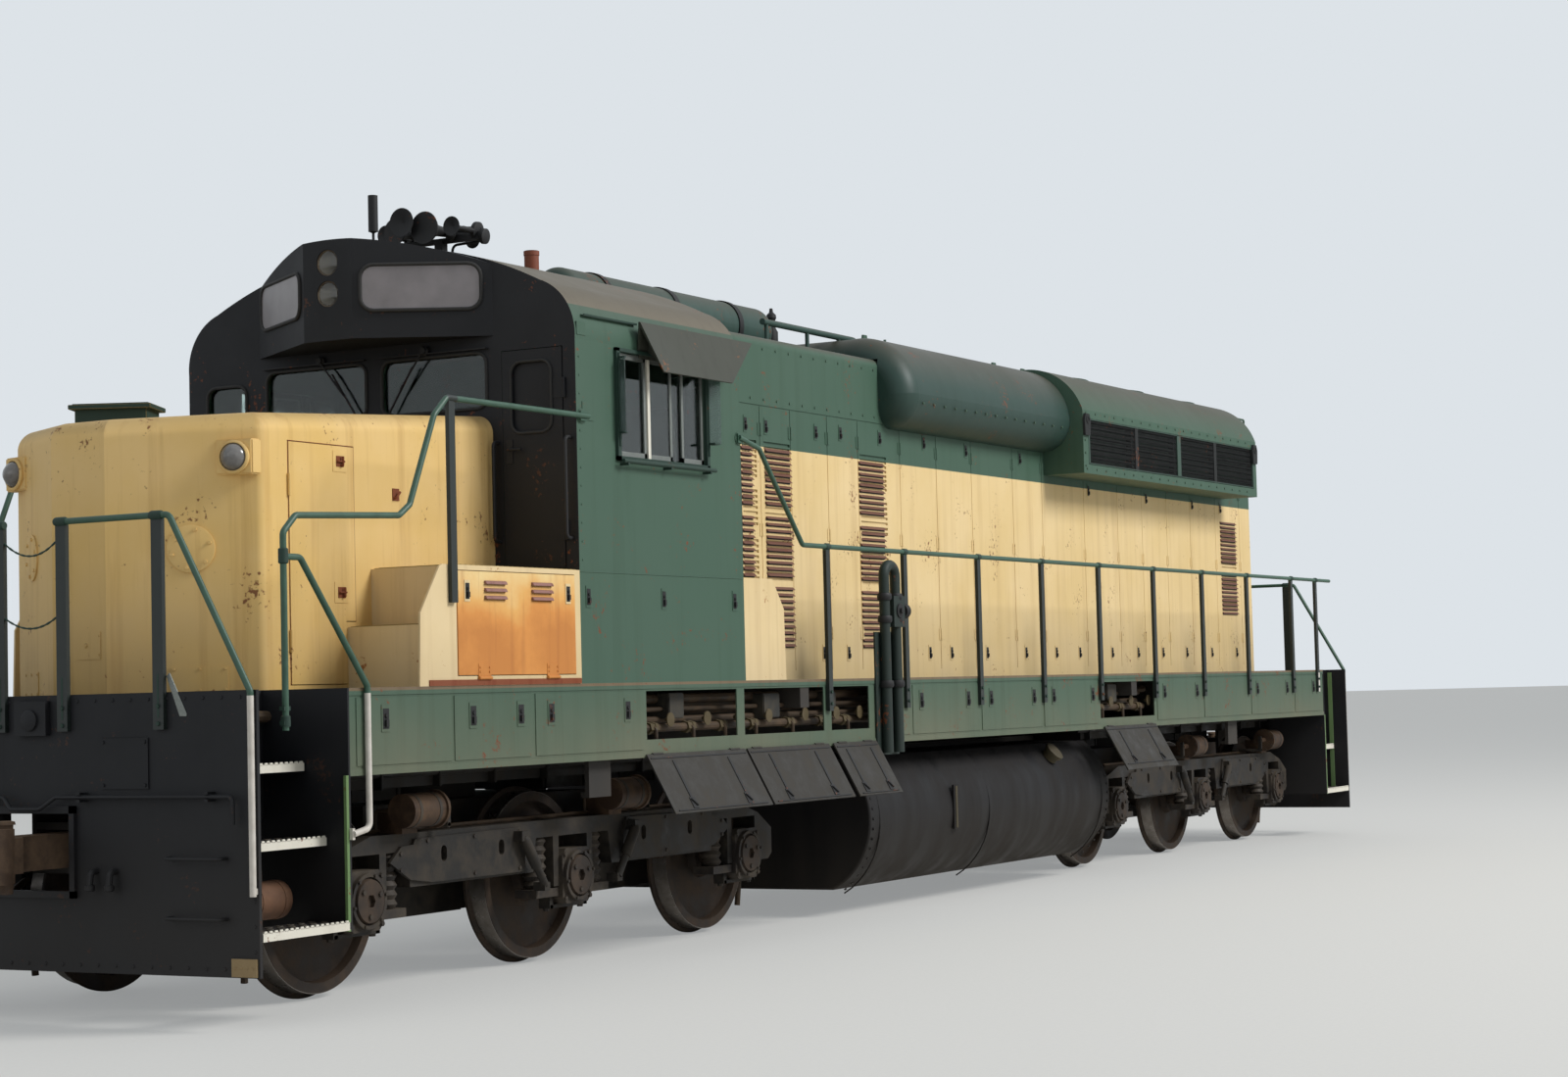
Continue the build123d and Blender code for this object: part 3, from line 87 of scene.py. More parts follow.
def finish_for(name):
    """A new material: itself, its tree, its shader and the place on the object."""
    material = bpy.data.materials.new(name)
    material.use_nodes = True
    tree = material.node_tree
    return material, tree, tree.nodes["Principled BSDF"], add(tree, "TexCoord", out="Object")


floor_half = 400
floor_mesh = bpy.data.meshes.new("floor")
floor_mesh.from_pydata([(-floor_half, -floor_half, 0), (floor_half, -floor_half, 0),
                        (floor_half, floor_half, 0), (-floor_half, floor_half, 0)], [], [(0, 1, 2, 3)])
floor = bpy.data.objects.new("floor", floor_mesh)
bpy.context.scene.collection.objects.link(floor)
# floated concrete: pale and matt, its speckle about 25 mm across
concrete, tree, shader, place = finish_for("pale_concrete")
speckle = add(tree, "TexNoise", {"Scale": 40.0, "Detail": 4.0, "Vector": place})
feed(shader, {"Base Color": add(tree, "Mix", {0: speckle, 6: "#C9C6BF", 7: "#D6D3CC"}, 2, data_type="RGBA"),
              "Roughness": 0.85})
# the camera alone sees it a little paler, so that it stays light far from the lamps
seen = add(tree, "Math", {0: add(tree, "LightPath", out="Is Camera Ray"), 1: 0.4}, operation="MULTIPLY")
both = add(tree, "MixShader", {0: seen, 1: shader.outputs[0], 2: add(tree, "Emission", {"Color": "#D9DCDD"})})
feed(tree.nodes["Material Output"], {0: both})
floor_mesh.materials.append(concrete)

# lamps: name, place, size, power
for name, place, size, power in (("key_lamp", (26, 4, 22), 11, 9000), ("front_lamp", (-4, -27, 9), 10, 240)):
    light = bpy.data.lights.new(name, "AREA")
    light.size = size
    light.energy = power
    lamp = bpy.data.objects.new(name, light)
    lamp.location = place
    lamp.rotation_euler = (Vector((0, -1, 2)) - Vector(place)).to_track_quat("-Z", "Y").to_euler()
    bpy.context.scene.collection.objects.link(lamp)
world = bpy.data.worlds.new("studio")
world.use_nodes = True
bpy.context.scene.world = world
# the plain background shows to the camera, in reflections and through glass; the light is softer
sky = world.node_tree
path = add(sky, "LightPath").node.outputs
mirrored = add(sky, "Math", {0: path["Is Camera Ray"], 1: path["Is Glossy Ray"]}, operation="MAXIMUM")
seen = add(sky, "Math", {0: mirrored, 1: path["Is Transmission Ray"]}, operation="MAXIMUM")
pale = add(sky, "Background", {"Color": "#DDE3E8", "Strength": 1.0})
soft = add(sky, "Background", {"Color": "#E8EEF4", "Strength": 0.5})
feed(sky.nodes["World Output"], {0: add(sky, "MixShader", {0: seen, 1: soft, 2: pale})})


# Long hood: folded steel sheet over the engine, with doors along both sides. The enamel on it
# is yellow below a straight line and green above, bleached, streaked by rain and rusting in specks.
def enamel(name, coat, upper=None, split=0.0, dust="#8A7B63", rust="#6E3A1E", dust_top=0.0, wear=0.5,
           gloss=0.5, soot=0.0, front=None):
    """Weathered paint. upper: a second colour above the height split. dust_top: where road dust ends.
    soot: how dark grime lies on upward faces. front: (y, colour) for what faces forward of y."""
    material, tree, shader, place = finish_for(name)
    axes = add(tree, "SeparateXYZ", {0: place}).node.outputs
    height = axes[2]
    colour = linear(coat)

    def over(part, above):
        """The colour so far with another one over part of it."""
        return add(tree, "Mix", {0: part, 6: colour, 7: above}, 2, data_type="RGBA")

    if upper:
        colour = over(add(tree, "MapRange", {0: height, 1: split - 0.001, 2: split + 0.001}), upper)
    # sun fading in patches about a metre across
    patch = add(tree, "TexNoise", {"Vector": place, "Scale": 1.1, "Detail": 5.0, "Roughness": 0.6})
    bleach = add(tree, "HueSaturation", {"Saturation": 0.85, "Value": 1.12, "Color": colour})
    colour = over(add(tree, "MapRange", {0: patch, 1: 0.35, 2: 0.75, 3: 0.0, 4: 0.8}), bleach)
    # rain streaks about 90 mm wide and 2 m long
    stretched = add(tree, "Mapping", {"Vector": place, "Scale": (11.0, 11.0, 0.5)})
    run = add(tree, "TexNoise", {"Vector": stretched, "Scale": 1.0, "Detail": 4.0, "Roughness": 0.65})
    shade = add(tree, "HueSaturation", {"Hue": 0.488, "Saturation": 1.1, "Value": 0.7, "Color": colour})
    colour = over(add(tree, "MapRange", {0: run, 1: 0.5, 2: 0.78, 3: 0.0, 4: wear}), shade)
    # road dust that thins out upwards
    if dust_top:
        low = add(tree, "MapRange", {0: height, 1: dust_top - 0.7, 2: dust_top, 3: 0.75, 4: 0.0})
        colour = over(add(tree, "Math", {0: low, 1: patch}, operation="MULTIPLY"), dust)
    # soot and brown dust that settle on upward faces
    if soot:
        upward = add(tree, "SeparateXYZ", {0: add(tree, "NewGeometry", out="Normal")}, 2)
        colour = over(add(tree, "MapRange", {0: upward, 1: 0.25, 2: 0.8, 3: 0.0, 4: soot}), "#4B463C")
    if front:
        ahead = add(tree, "MapRange", {0: axes[1], 1: front[0], 2: front[0] + 0.001, 3: 1.0, 4: 0.0})
        colour = over(ahead, front[1])
    # rust specks 10 to 30 mm across
    chip = add(tree, "TexNoise", {"Vector": place, "Scale": 34.0, "Detail": 3.0, "Roughness": 0.55})
    where = add(tree, "TexNoise", {"Vector": place, "Scale": 3.2, "Detail": 3.0})
    both = add(tree, "Math", {0: chip, 1: where}, operation="ADD")
    colour = over(add(tree, "MapRange", {0: both, 1: 1.27 - 0.06 * wear, 2: 1.33, 3: 0.0, 4: 0.9}), rust)
    rough = add(tree, "MapRange", {0: patch, 1: 0.3, 2: 0.7, 3: 0.75 - 0.45 * gloss, 4: 0.9 - 0.4 * gloss})
    # orange peel of about 3 mm, and shallow dents half a metre apart
    peel = add(tree, "TexNoise", {"Vector": place, "Scale": 320.0, "Detail": 1.0})
    dent = add(tree, "TexNoise", {"Vector": place, "Scale": 2.4, "Detail": 2.0})
    fine = add(tree, "Bump", {"Height": peel, "Strength": 0.25, "Distance": 0.0004})
    coarse = add(tree, "Bump", {"Height": dent, "Strength": 0.5, "Distance": 0.006, "Normal": fine})
    feed(shader, {"Base Color": colour, "Roughness": rough, "Specular IOR Level": 0.35, "Normal": coarse})
    return material


def coat(material, *names):
    """Gives a finish to CAD nodes that keep their own shape."""
    for name in names:
        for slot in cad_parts[name].material_slots:
            slot.material = material


def block(bm, lo, hi):
    """A box between two corners."""
    v = [bm.verts.new((x, y, z)) for x in sorted((lo[0], hi[0])) for y in sorted((lo[1], hi[1]))
         for z in sorted((lo[2], hi[2]))]
    for f in ((0, 1, 3, 2), (4, 6, 7, 5), (0, 4, 5, 1), (2, 3, 7, 6), (0, 2, 6, 4), (1, 5, 7, 3)):
        bm.faces.new([v[i] for i in f])


def skin(bm, rings):
    """Faces between rings of points that follow one another; a ring of one point closes a shape."""
    rings = [[bm.verts.new(point) for point in ring] for ring in rings]
    for a, b in zip(rings, rings[1:]):
        for i in range(max(len(a), len(b))):
            if len(a) == 1:
                bm.faces.new((a[0], b[i - 1], b[i]))
            elif len(b) == 1:
                bm.faces.new((a[i - 1], a[i], b[0]))
            else:
                bm.faces.new((a[i - 1], a[i], b[i], b[i - 1]))
    return rings


def prism(bm, outline, axis, start, end):
    """A plate between two distances along an axis, with an outline in the other two axes."""
    ends = [[(*point[:axis], distance, *point[axis:]) for point in outline] for distance in (start, end)]
    for ring in skin(bm, ends):
        bm.faces.new(ring)


def turned(bm, centre, axis, profile, sides=24, hollow=False):
    """A turned shape; the profile gives distance along the axis and radius, from one end to the other.
    A hollow one has no flat ends: its profile comes back to where it starts."""
    axis = Vector(axis).normalized()
    across = axis.orthogonal().normalized()
    other = axis.cross(across)
    rings = []
    for along, r in profile:
        middle = Vector(centre) + axis * along
        rings.append([middle + x * across + y * other for x, y in circle(r, sides)] if r else [middle])
    rings = skin(bm, rings)
    for ring in () if hollow else (rings[0], rings[-1]):
        if len(ring) > 1:
            bm.faces.new(ring)


def circle(r, n, start=0.0):
    """Points round a circle about zero."""
    turns = [start + 2 * math.pi * i / n for i in range(n)]
    return [(r * math.cos(a), r * math.sin(a)) for a in turns]


def bolt(bm, at, way, r, height, top, sides=6, sunk=0):
    """A bolt's or rivet's head, or a short bar."""
    turned(bm, at, way, [(sunk, r), (height, top)], sides)


def piece(name, bm, material, body="platform", place=None, angle=35, edge=0.0):
    """Closes a mesh into a piece that rides a body; place moves it there, edge rounds its corners."""
    if place:
        bm.transform(place)
    bmesh.ops.recalc_face_normals(bm, faces=bm.faces)
    if edge:
        sharp = [e for e in bm.edges if len(e.link_faces) == 2 and e.calc_face_angle() > math.radians(50)]
        bmesh.ops.bevel(bm, geom=sharp, offset=edge, segments=2, affect="EDGES", clamp_overlap=True)
    mesh = bpy.data.meshes.new(name)
    bm.to_mesh(mesh)
    bm.free()
    mesh.shade_smooth()
    mesh.set_sharp_from_angle(angle=math.radians(angle))
    mesh.materials.append(material)
    made = bpy.data.objects.new(name, mesh)
    bpy.context.scene.collection.objects.link(made)
    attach(made, body)
    return made


green = "#3B5646"
# enamel over primed steel: semi-gloss where clean, chalky where the sun has bleached it
hood_paint = enamel("two_tone_enamel", "#D8BC84", upper=green, split=3.338, dust_top=2.3, soot=0.75)
coat(hood_paint, "long_hood")
hood_x = 0.883

# louvre hoods pressed from the door sheets, painted brown: y0, y1, spans of height
louvre_brown = enamel("rusty_brown_enamel", "#6B4535", dust="#8A6A4A", wear=0.9)
louvre_fields = [(-2.765, -2.612, ((2.907, 3.336), (2.402, 2.85))),
                 (-2.423, -2.06, ((2.915, 3.336), (2.409, 2.858), (1.912, 2.361))),
                 (-0.99, -0.59, ((2.914, 3.33), (2.416, 2.842), (1.91, 2.357))),
                 (6.745, 7.17, ((2.759, 3.188), (2.25, 2.67)))]
louvre_pitch = 0.041
bm, bm_slot_shade = bmesh.new(), bmesh.new()
for side in (-1, 1):
    inner, lip, tip = side * (hood_x - 0.004), side * (hood_x + 0.018), side * (hood_x + 0.017)
    for y0, y1, spans in louvre_fields:
        for z0, z1 in spans:
            n = int((z1 - z0) / louvre_pitch)
            for i in range(n):
                z = z0 + (i + 0.5) * (z1 - z0) / n
                prism(bm, [(inner, z + 0.018), (lip, z - 0.003), (lip, z - 0.006), (inner, z + 0.014)], 1,
                      y0 - 0.004, y1 + 0.004)
                for y in (y0, y1):
                    prism(bm, [(inner, z + 0.016), (tip, z - 0.004), (inner, z - 0.004)], 1, y - 0.004,
                          y + 0.004)
                # a thin dark plate under each lip: painted shade of the opening behind the louvre
                block(bm_slot_shade, (side * (hood_x - 0.002), y0, z - 0.014),
                      (side * (hood_x + 0.0012), y1, z + 0.012))
piece("hood_louvres", bm, louvre_brown)
# black enamel on latches and straps, worn dull and brown by hands and weather; in the louvre slots it is
# painted shade
hardware_black = enamel("worn_black_hardware", "#1B1B1C", dust="#5A4B3A", wear=0.8)
piece("louvre_slot_shade", bm_slot_shade, hardware_black)


def latches(name, places, x, body="platform", size=(0.052, 0.12), paint=None):
    """Latch cups with dark bar handles and painted shade in the cups, at y and z on the faces at each x; one
    pair of pieces.
    """
    plates, handles = bmesh.new(), bmesh.new()
    wide, high = size
    for at in x:
        out = 1 if at > 0 else -1
        for y, z in places:
            block(plates, (at, y - wide / 2, z - high / 2), (at + out * 0.004, y + wide / 2, z + high / 2))
            # a raised dark block that paints the shade of the recess, and the bar: near and far face, half
            # width, low and high edge
            for near, far, half, low, top in ((0.003, 0.006, 0.34, 0.38, 0.36),
                                              (0.006, 0.018, 0.16, 0.3, -0.05)):
                block(handles, (at + out * near, y - wide * half, z - high * low),
                      (at + out * far, y + wide * half, z + high * top))
            bolt(handles, (at + out * 0.004, y, z + high * 0.1), (out, 0, 0), wide * 0.2, 0.01, wide * 0.15,
                 12)
    piece(name + "_plates", plates, paint, body, edge=0.001)
    piece(name + "_handles_and_shade", handles, hardware_black, body)


# latches at the top and at the bottom of the doors: y, z
hood_latches = [(-2.694, 3.487), (-2.402, 3.487), (-1.659, 3.496), (-1.276, 3.515), (-0.638, 3.521),
                (0.122, 3.533), (0.892, 3.52), (1.951, 3.52), (2.732, 3.498), (3.413, 3.321),
                (4.784, 3.315), (5.973, 3.314), (6.753, 3.311)]
hood_latches += [(y, 1.885) for y in (-1.611, -1.228, -0.6, 0.14, 0.529, 1.2, 1.972, 2.608, 3.12, 3.86,
                                      4.48, 5.1, 5.72, 6.4, 7.1)]
latches("hood_latch", hood_latches, (hood_x, -hood_x), paint=hood_paint)

# hinge leaves and pins of the side doors, three to a seam, and bolt heads along the roof's edge
hood_seams = [-3.3, -2.9, -2.49, -2.045, -1.484, -1.0, -0.301, 0.34, 0.989, 1.795, 2.396, 3.308, 4.084,
              4.675, 5.3, 5.917, 6.615, 7.3]
bm = bmesh.new()
for side in (-1, 1):
    for y in hood_seams:
        for z in (2.03, 2.75, 3.46):
            block(bm, (side * hood_x, y - 0.03, z - 0.045), (side * (hood_x + 0.004), y + 0.03, z + 0.045))
            bolt(bm, (side * (hood_x + 0.006), y, z - 0.045), (0, 0, 1), 0.007, 0.09, 0.007, 8)
    for i in range(17):
        for z in (3.675, 4.035):
            bolt(bm, (side * hood_x, -3.75 + i * 0.19, z), (side, 0, 0), 0.01, 0.006, 0.009)
piece("hood_hinges_and_bolts", bm, hood_paint)

# Dynamic brake hatch and radiator housing: green enamelled sheet bolted over the hood's top,
# black with soot on their backs.
# green enamel, dull on top under soot, half glossy on upright sheets
body_green = enamel("weathered_green_enamel", green, soot=0.8)
coat(body_green, "radiator_housing")
coat(enamel("deep_green_enamel", "#263D36", soot=0.7, gloss=0.7), "brake_hatch")
bm = bmesh.new()
# bolt heads along the seams: start, step, count
for start, step, count in (((1.1405, -0.38, 3.79), (0, 0.19, 0), 15),
                           ((1.262, 2.52, 3.925), (0, 0.21, 0), 20),
                           ((1.262, 2.52, 3.445), (0, 0.21, 0), 20),
                           ((1.262, 2.49, 3.47), (0, 0, 0.11), 5)):
    for side in (-1, 1):
        for i in range(count):
            x, y, z = (start[k] + i * step[k] for k in range(3))
            bolt(bm, (side * (x - 0.002), y, z), (side, 0, 0), 0.011, 0.008, 0.009)
# lifting lugs on the roof edges, and a vent
for side in (-1, 1):
    for y in (-0.25, 2.15, 2.75, 6.45):
        prism(bm, [(y - 0.05, 4.3), (y + 0.05, 4.3), (y + 0.03, 4.375), (y - 0.03, 4.375)], 0,
              side * 0.58 - 0.008, side * 0.58 + 0.008)
turned(bm, (0.3, 0.655, 4.3), (0, 0, 1), [(0, 0.02), (0.05, 0.02), (0.05, 0.012), (0.15, 0.012)], 10)
piece("hatch_bolts_and_lugs", bm, body_green)


def bent(points, radius, steps=5):
    """The points of a path with its corners rounded."""
    points = [Vector(p) for p in points]
    out = [points[0]]
    for before, corner, after in zip(points, points[1:], points[2:]):
        a, b = (before - corner).normalized(), (after - corner).normalized()
        half = a.angle(b) / 2
        if half > math.radians(88):
            out.append(corner)
            continue
        reach = min(radius / math.tan(half), (before - corner).length * 0.49, (after - corner).length * 0.49)
        bend = reach * math.tan(half)
        middle = corner + (a + b).normalized() * (bend / math.sin(half))
        start, end = corner + a * reach - middle, corner + b * reach - middle
        for i in range(steps + 1):
            out.append(middle + bend * start.slerp(end, i / steps, start))
    out.append(points[-1])
    return out


def tube(bm, points, r, sides=10, closed=False):
    """A round bar or pipe along a path, with flat ends and mitred joints."""
    points = [Vector(p) for p in points]
    if closed:
        points += points[:2]
    ways = [(b - a).normalized() for a, b in zip(points, points[1:])]
    across = ways[0].orthogonal().normalized()
    rings = []
    for i, point in enumerate(points):
        way = ways[min(i, len(ways) - 1)]
        if i:
            across = (across - way * across.dot(way)).normalized()
        other = way.cross(across)
        joint = (ways[i - 1] + way).normalized() if 0 < i < len(ways) else way
        spokes = [x * across + y * other for x, y in circle(r, sides)]
        rings.append([point + spoke - way * (spoke.dot(joint) / way.dot(joint)) for spoke in spokes])
    rings = skin(bm, rings)
    bm.faces.new(rings[0])
    bm.faces.new(rings[-1])


def staple(bm, start, end, out, r=0.011, sides=10, bend=0.03):
    """A grab iron from start to end that stands off its wall by out."""
    start, end, out = Vector(start), Vector(end), Vector(out)
    tube(bm, bent([start, start + out, end + out, end], bend), r, sides)


# grab irons over the radiator
bm = bmesh.new()
for side in (-1, 1):
    for y0, y1 in ((5.56, 6.26), (6.53, 7.52)):
        staple(bm, (side * 0.86, y0, 4.1), (side * 0.86, y1, 4.1), (side * 0.04, 0, 0.145), bend=0.05)
piece("roof_grab_irons", bm, body_green)

# Radiator grilles: steel slats in four panels a side behind woven wire, black with soot, held by
# bolted frames and dark bars.
grille_green = enamel("dull_green_enamel", "#34493F", dust="#6D6654", wear=0.7)
# galvanised wire under soot: near black, with hardly any shine
wire_black = enamel("sooty_black_wire", "#1C1E1E", dust="#4A453B", wear=0.5, gloss=0.2)
coat(wire_black, "radiator_grilles")
wire_pitch, wire_half = 0.025, 0.002
bm, bm_frame = bmesh.new(), bmesh.new()
for side in (-1, 1):
    # the upright wires lie in front
    for i in range(166):
        y = 2.575 + wire_pitch * i
        block(bm, (side * 1.252, y - wire_half, 3.49), (side * 1.256, y + wire_half, 3.876))
    for i in range(15):
        z = 3.505 + wire_pitch * i
        block(bm, (side * 1.249, 2.565, z - wire_half), (side * 1.253, 6.715, z + wire_half))
    # dark bars between the outer panels
    for y in (3.67, 5.655):
        block(bm, (side * 1.24, y - 0.035, 3.484), (side * 1.26, y + 0.035, 3.881))
    # lifting lugs at both ends, an eye in a forged plate
    for y in (2.505, 6.72):
        prism(bm, [(y - 0.055, 3.73), (y + 0.055, 3.73), (y + 0.065, 3.86), (y + 0.04, 3.915),
                   (y - 0.04, 3.915), (y - 0.065, 3.86)], 0, side * 1.262, side * 1.285)
        turned(bm, (side * 1.284, y, 3.865), (side, 0, 0),
               [(0, 0.038), (0.008, 0.034), (0.008, 0.022), (0.002, 0.02)], 16)
    # frame round the panels and a thick divider in the middle
    for y, half in ((2.575, 0.015), (4.7, 0.045), (6.705, 0.015)):
        block(bm_frame, (side * 1.24, y - half, 3.484), (side * 1.264, y + half, 3.881))
    for z in (3.488, 3.868):
        block(bm_frame, (side * 1.24, 2.562, z), (side * 1.264, 6.718, z + 0.01))
piece("radiator_mesh", bm, wire_black)
piece("radiator_panel_frames", bm_frame, grille_green, edge=0.002)


# Fan guards and fans: welded wire rings over the wells in the roof, and pressed aluminium blades
# bolted to the hub of a motor.
def mottled(name, scale, detail, tones, rough, values=(), grain=0.5, lumps=None):
    """A plain material with one noise in it. tones: one colour or two. rough: one value, or two that
    follow the noise, with the span of noise they belong to. lumps: strength and height of a bump."""
    material, tree, shader, place = finish_for(name)
    cloud = add(tree, "TexNoise", {"Vector": place, "Scale": scale, "Detail": detail, "Roughness": grain})
    if isinstance(tones, tuple):
        tones = add(tree, "Mix", {0: cloud, 6: tones[0], 7: tones[1]}, 2, data_type="RGBA")
    if isinstance(rough, tuple):
        rough = add(tree, "MapRange", dict(zip((3, 4, 1, 2), rough)) | {0: cloud})
    feed(shader, {"Base Color": tones, "Roughness": rough} | dict(values))
    if lumps:
        swell = add(tree, "Bump", {"Height": cloud, "Strength": lumps[0], "Distance": lumps[1]})
        feed(shader, {"Normal": swell})
    return material


guard_z = 4.388
fan_ys = (4.1, 5.47, 6.84)
coat(grille_green, "fan_guards")
bm = bmesh.new()
for middle in fan_ys:
    for r in (0.5, 0.44, 0.3, 0.22, 0.1):
        tube(bm, [(x, middle + y, guard_z + 0.008) for x, y in circle(r, 48)], 0.005, 6, closed=True)
    turned(bm, (0, middle, guard_z), (0, 0, 1), [(0, 0.09), (0.016, 0.09), (0.022, 0.08)], 24)
piece("fan_guard_wires", bm, grille_green)
# pressed aluminium, grey and dull under dust in patches of about 110 mm
blade_metal = mottled("dusty_aluminium", 9.0, 5.0, ("#6E6C66", "#3E3B36"), (0.45, 0.7), {"Metallic": 0.6})
coat(blade_metal, "fan_1", "fan_2", "fan_3")
for n, middle in enumerate(fan_ys, 1):
    bm = bmesh.new()
    turned(bm, (0, middle, 4.262), (0, 0, 1), [(0, 0.125), (0.012, 0.118), (0.02, 0.075), (0.02, 0.0)], 32)
    for x, y in circle(0.095, 6, 0.5):
        bolt(bm, (x, middle + y, 4.27), (0, 0, 1), 0.01, 0.012, 0.009)
    piece("fan_hub_%d" % n, bm, blade_metal, "fan_%d" % n)

# Roof tank: a welded air reservoir with dished ends, strapped to saddles behind the cab,
# and a bent pipe hoop that guards its end. Green enamel under brown dust.
coat(enamel("dusty_green_enamel", "#2F4740", soot=0.55, wear=0.8), "roof_reservoirs")
bm = bmesh.new()
for y in (-3.3, -2.4, -1.5):
    # strap with its buckle bolts
    bolt(bm, (0, y - 0.03, 4.36), (0, 1, 0), 0.1995, 0.06, 0.1995, 48)
    for side in (-1, 1):
        block(bm, (side * 0.19, y - 0.03, 4.25), (side * 0.235, y + 0.03, 4.262))
        bolt(bm, (side * 0.215, y, 4.14), (0, 0, 1), 0.01, 0.14, 0.01, 8)
piece("tank_straps", bm, hardware_black)
bm = bmesh.new()
# safety valve on the tank's end, and the pipes from it down through the hood
turned(bm, (0.08, -0.84, 4.3), (0, 0, 1), [(0, 0.05), (0.08, 0.05), (0.11, 0.034), (0.17, 0.03),
                                           (0.19, 0.04), (0.215, 0.036), (0.235, 0.016), (0.265, 0.012)],
       16)
for r, bend, path in (
        (0.02, 0.03, [(0.08, -0.84, 4.31), (0.08, -0.84, 4.22), (0.2, -0.84, 4.22), (0.2, -0.84, 4.12)]),
        (0.018, 0.02, [(0, -0.93, 4.36), (0, -0.84, 4.33), (0.08, -0.84, 4.31)]),
        (0.018, 0.03, [(-0.15, -3.78, 4.3), (-0.15, -3.8, 4.3), (-0.4, -3.8, 4.3), (-0.4, -3.8, 4.12)])):
    tube(bm, bent(path, bend), r)
piece("tank_valve", bm, hardware_black)

# Cab: welded steel walls with green enamel outside, its front face and number boards' housing
# matt black against glare, and a roof under brown dust.
cab_front, cab_rear = -5.752, -3.804
cab_green = enamel("cab_green_enamel", green, front=(-5.7515, "#0F1014"))
coat(cab_green, "cab_walls", "cab_base")
coat(enamel("cab_roof_enamel", green, upper="#6C6454", split=3.95, soot=0.5, front=(-5.7515, "#0F1014")),
     "cab_roof")
glare_black = enamel("antiglare_black_enamel", "#0F1014", dust="#3F3A33", rust="#4A2C1C", wear=0.35)
coat(glare_black, "number_housing", "cab_door_front")
coat(cab_green, "cab_door_rear")
awning_grey = enamel("dusty_grey_enamel", "#393B32", rust="#7A4A28", wear=0.8)
coat(awning_grey, "awnings")
coat(hardware_black, "horn_and_aerial")

# Cab glass: laminated panes, faintly green and dusty at the edges, held by rubber in the openings
# of the walls.
# The dust lies in patches of 200 mm and blurs what is behind.
coat(mottled("dusty_laminated_glass", 5.0, 5.0, "#DCE8E4", (0.02, 0.16, 0.4, 0.8),
             {"Transmission Weight": 1.0, "IOR": 1.45}), "cab_glass")

# Window gaskets, wipers and drip mouldings on the cab's front: black rubber and painted steel. The
# wipers hang from motors bolted above the panes.
# The rubber is moulded, and perished to grey flecks of about 17 mm.
rubber = mottled("perished_black_rubber", 60.0, 4.0, ("#141414", "#2A2927"), 0.75)


def rounded(middle, size, radius, steps=5):
    """The outline of a rectangle with round corners."""
    out = []
    for k, (sx, sy) in enumerate(((1, 1), (-1, 1), (-1, -1), (1, -1))):
        for i in range(steps + 1):
            a = math.pi / 2 * (k + i / steps)
            out.append((middle[0] + sx * (size[0] / 2 - radius) + radius * math.cos(a),
                        middle[1] + sy * (size[1] / 2 - radius) + radius * math.sin(a)))
    return out


def gasket(name, y, openings, r=0.009, body="platform"):
    """Rubber round openings in a wall at y: the middle, size and corner of each."""
    bm = bmesh.new()
    for opening in openings:
        tube(bm, [(x, y, z) for x, z in rounded(*opening)], r, 8, closed=True)
    piece(name, bm, rubber, body)


gasket("window_gaskets", cab_front - 0.003, [((-0.4525, 3.535), (0.785, 0.34), 0.07),
                                             ((0.4525, 3.535), (0.785, 0.34), 0.07),
                                             ((-1.17, 3.41), (0.32, 0.46), 0.07)], 0.011)
gasket("front_door_gasket", cab_front - 0.008, [((1.17, 3.41), (0.29, 0.43), 0.07)], body="cab_door_front")
gasket("rear_door_gasket", cab_rear, [((1.17, 3.41), (0.29, 0.43), 0.07)], body="cab_door_rear")
bm = bmesh.new()
for side in (-1, 1):
    # motor boss above the pane, arm and blade parked across its lower inner part
    turned(bm, (side * 0.4, cab_front, 3.745), (0, -1, 0),
           [(0, 0.03), (0.025, 0.03), (0.03, 0.022), (0.045, 0.02)], 16)
    for x0, z0, x1, z1, off, r in ((0.4, 3.745, 0.22, 3.52, (0.038, 0.032), 0.006),
                                   (0.31, 3.655, 0.13, 3.385, (0.022, 0.022), 0.007)):
        tube(bm, [(side * x0, cab_front - off[0], z0), (side * x1, cab_front - off[1], z1)], r, 8)
    block(bm, (side * 0.06, cab_front - 0.03, 3.722), (side * 0.86, cab_front - 0.001, 3.73))
piece("wipers", bm, hardware_black)

# door furniture: lever handles, and grab bars beside the doors
for tag, y, out, z in (("front", -5.756, -1, 3.1), ("rear", -3.808, 1, 2.7)):
    bm = bmesh.new()
    block(bm, (0.985, y, z - 0.08), (1.03, y + out * 0.006, z + 0.06))
    tube(bm, bent([(1.008, y, z), (1.008, y + out * 0.035, z), (1.11, y + out * 0.035, z - 0.005)], 0.015),
         0.008, 8)
    piece("door_%s_handle" % tag, bm, hardware_black, "cab_door_" + tag)
bm = bmesh.new()
for y, out in ((cab_front, -1), (-3.812, 1)):
    for x in (0.925, 1.44):
        staple(bm, (x, y, 2.55), (x, y, 3.15), (0, out * 0.06, 0))
for z in (2.6, 2.9, 3.2):
    staple(bm, (-1.35, cab_front, z), (-1.02, cab_front, z), (0, -0.06, 0))
piece("cab_grab_bars", bm, hardware_black)

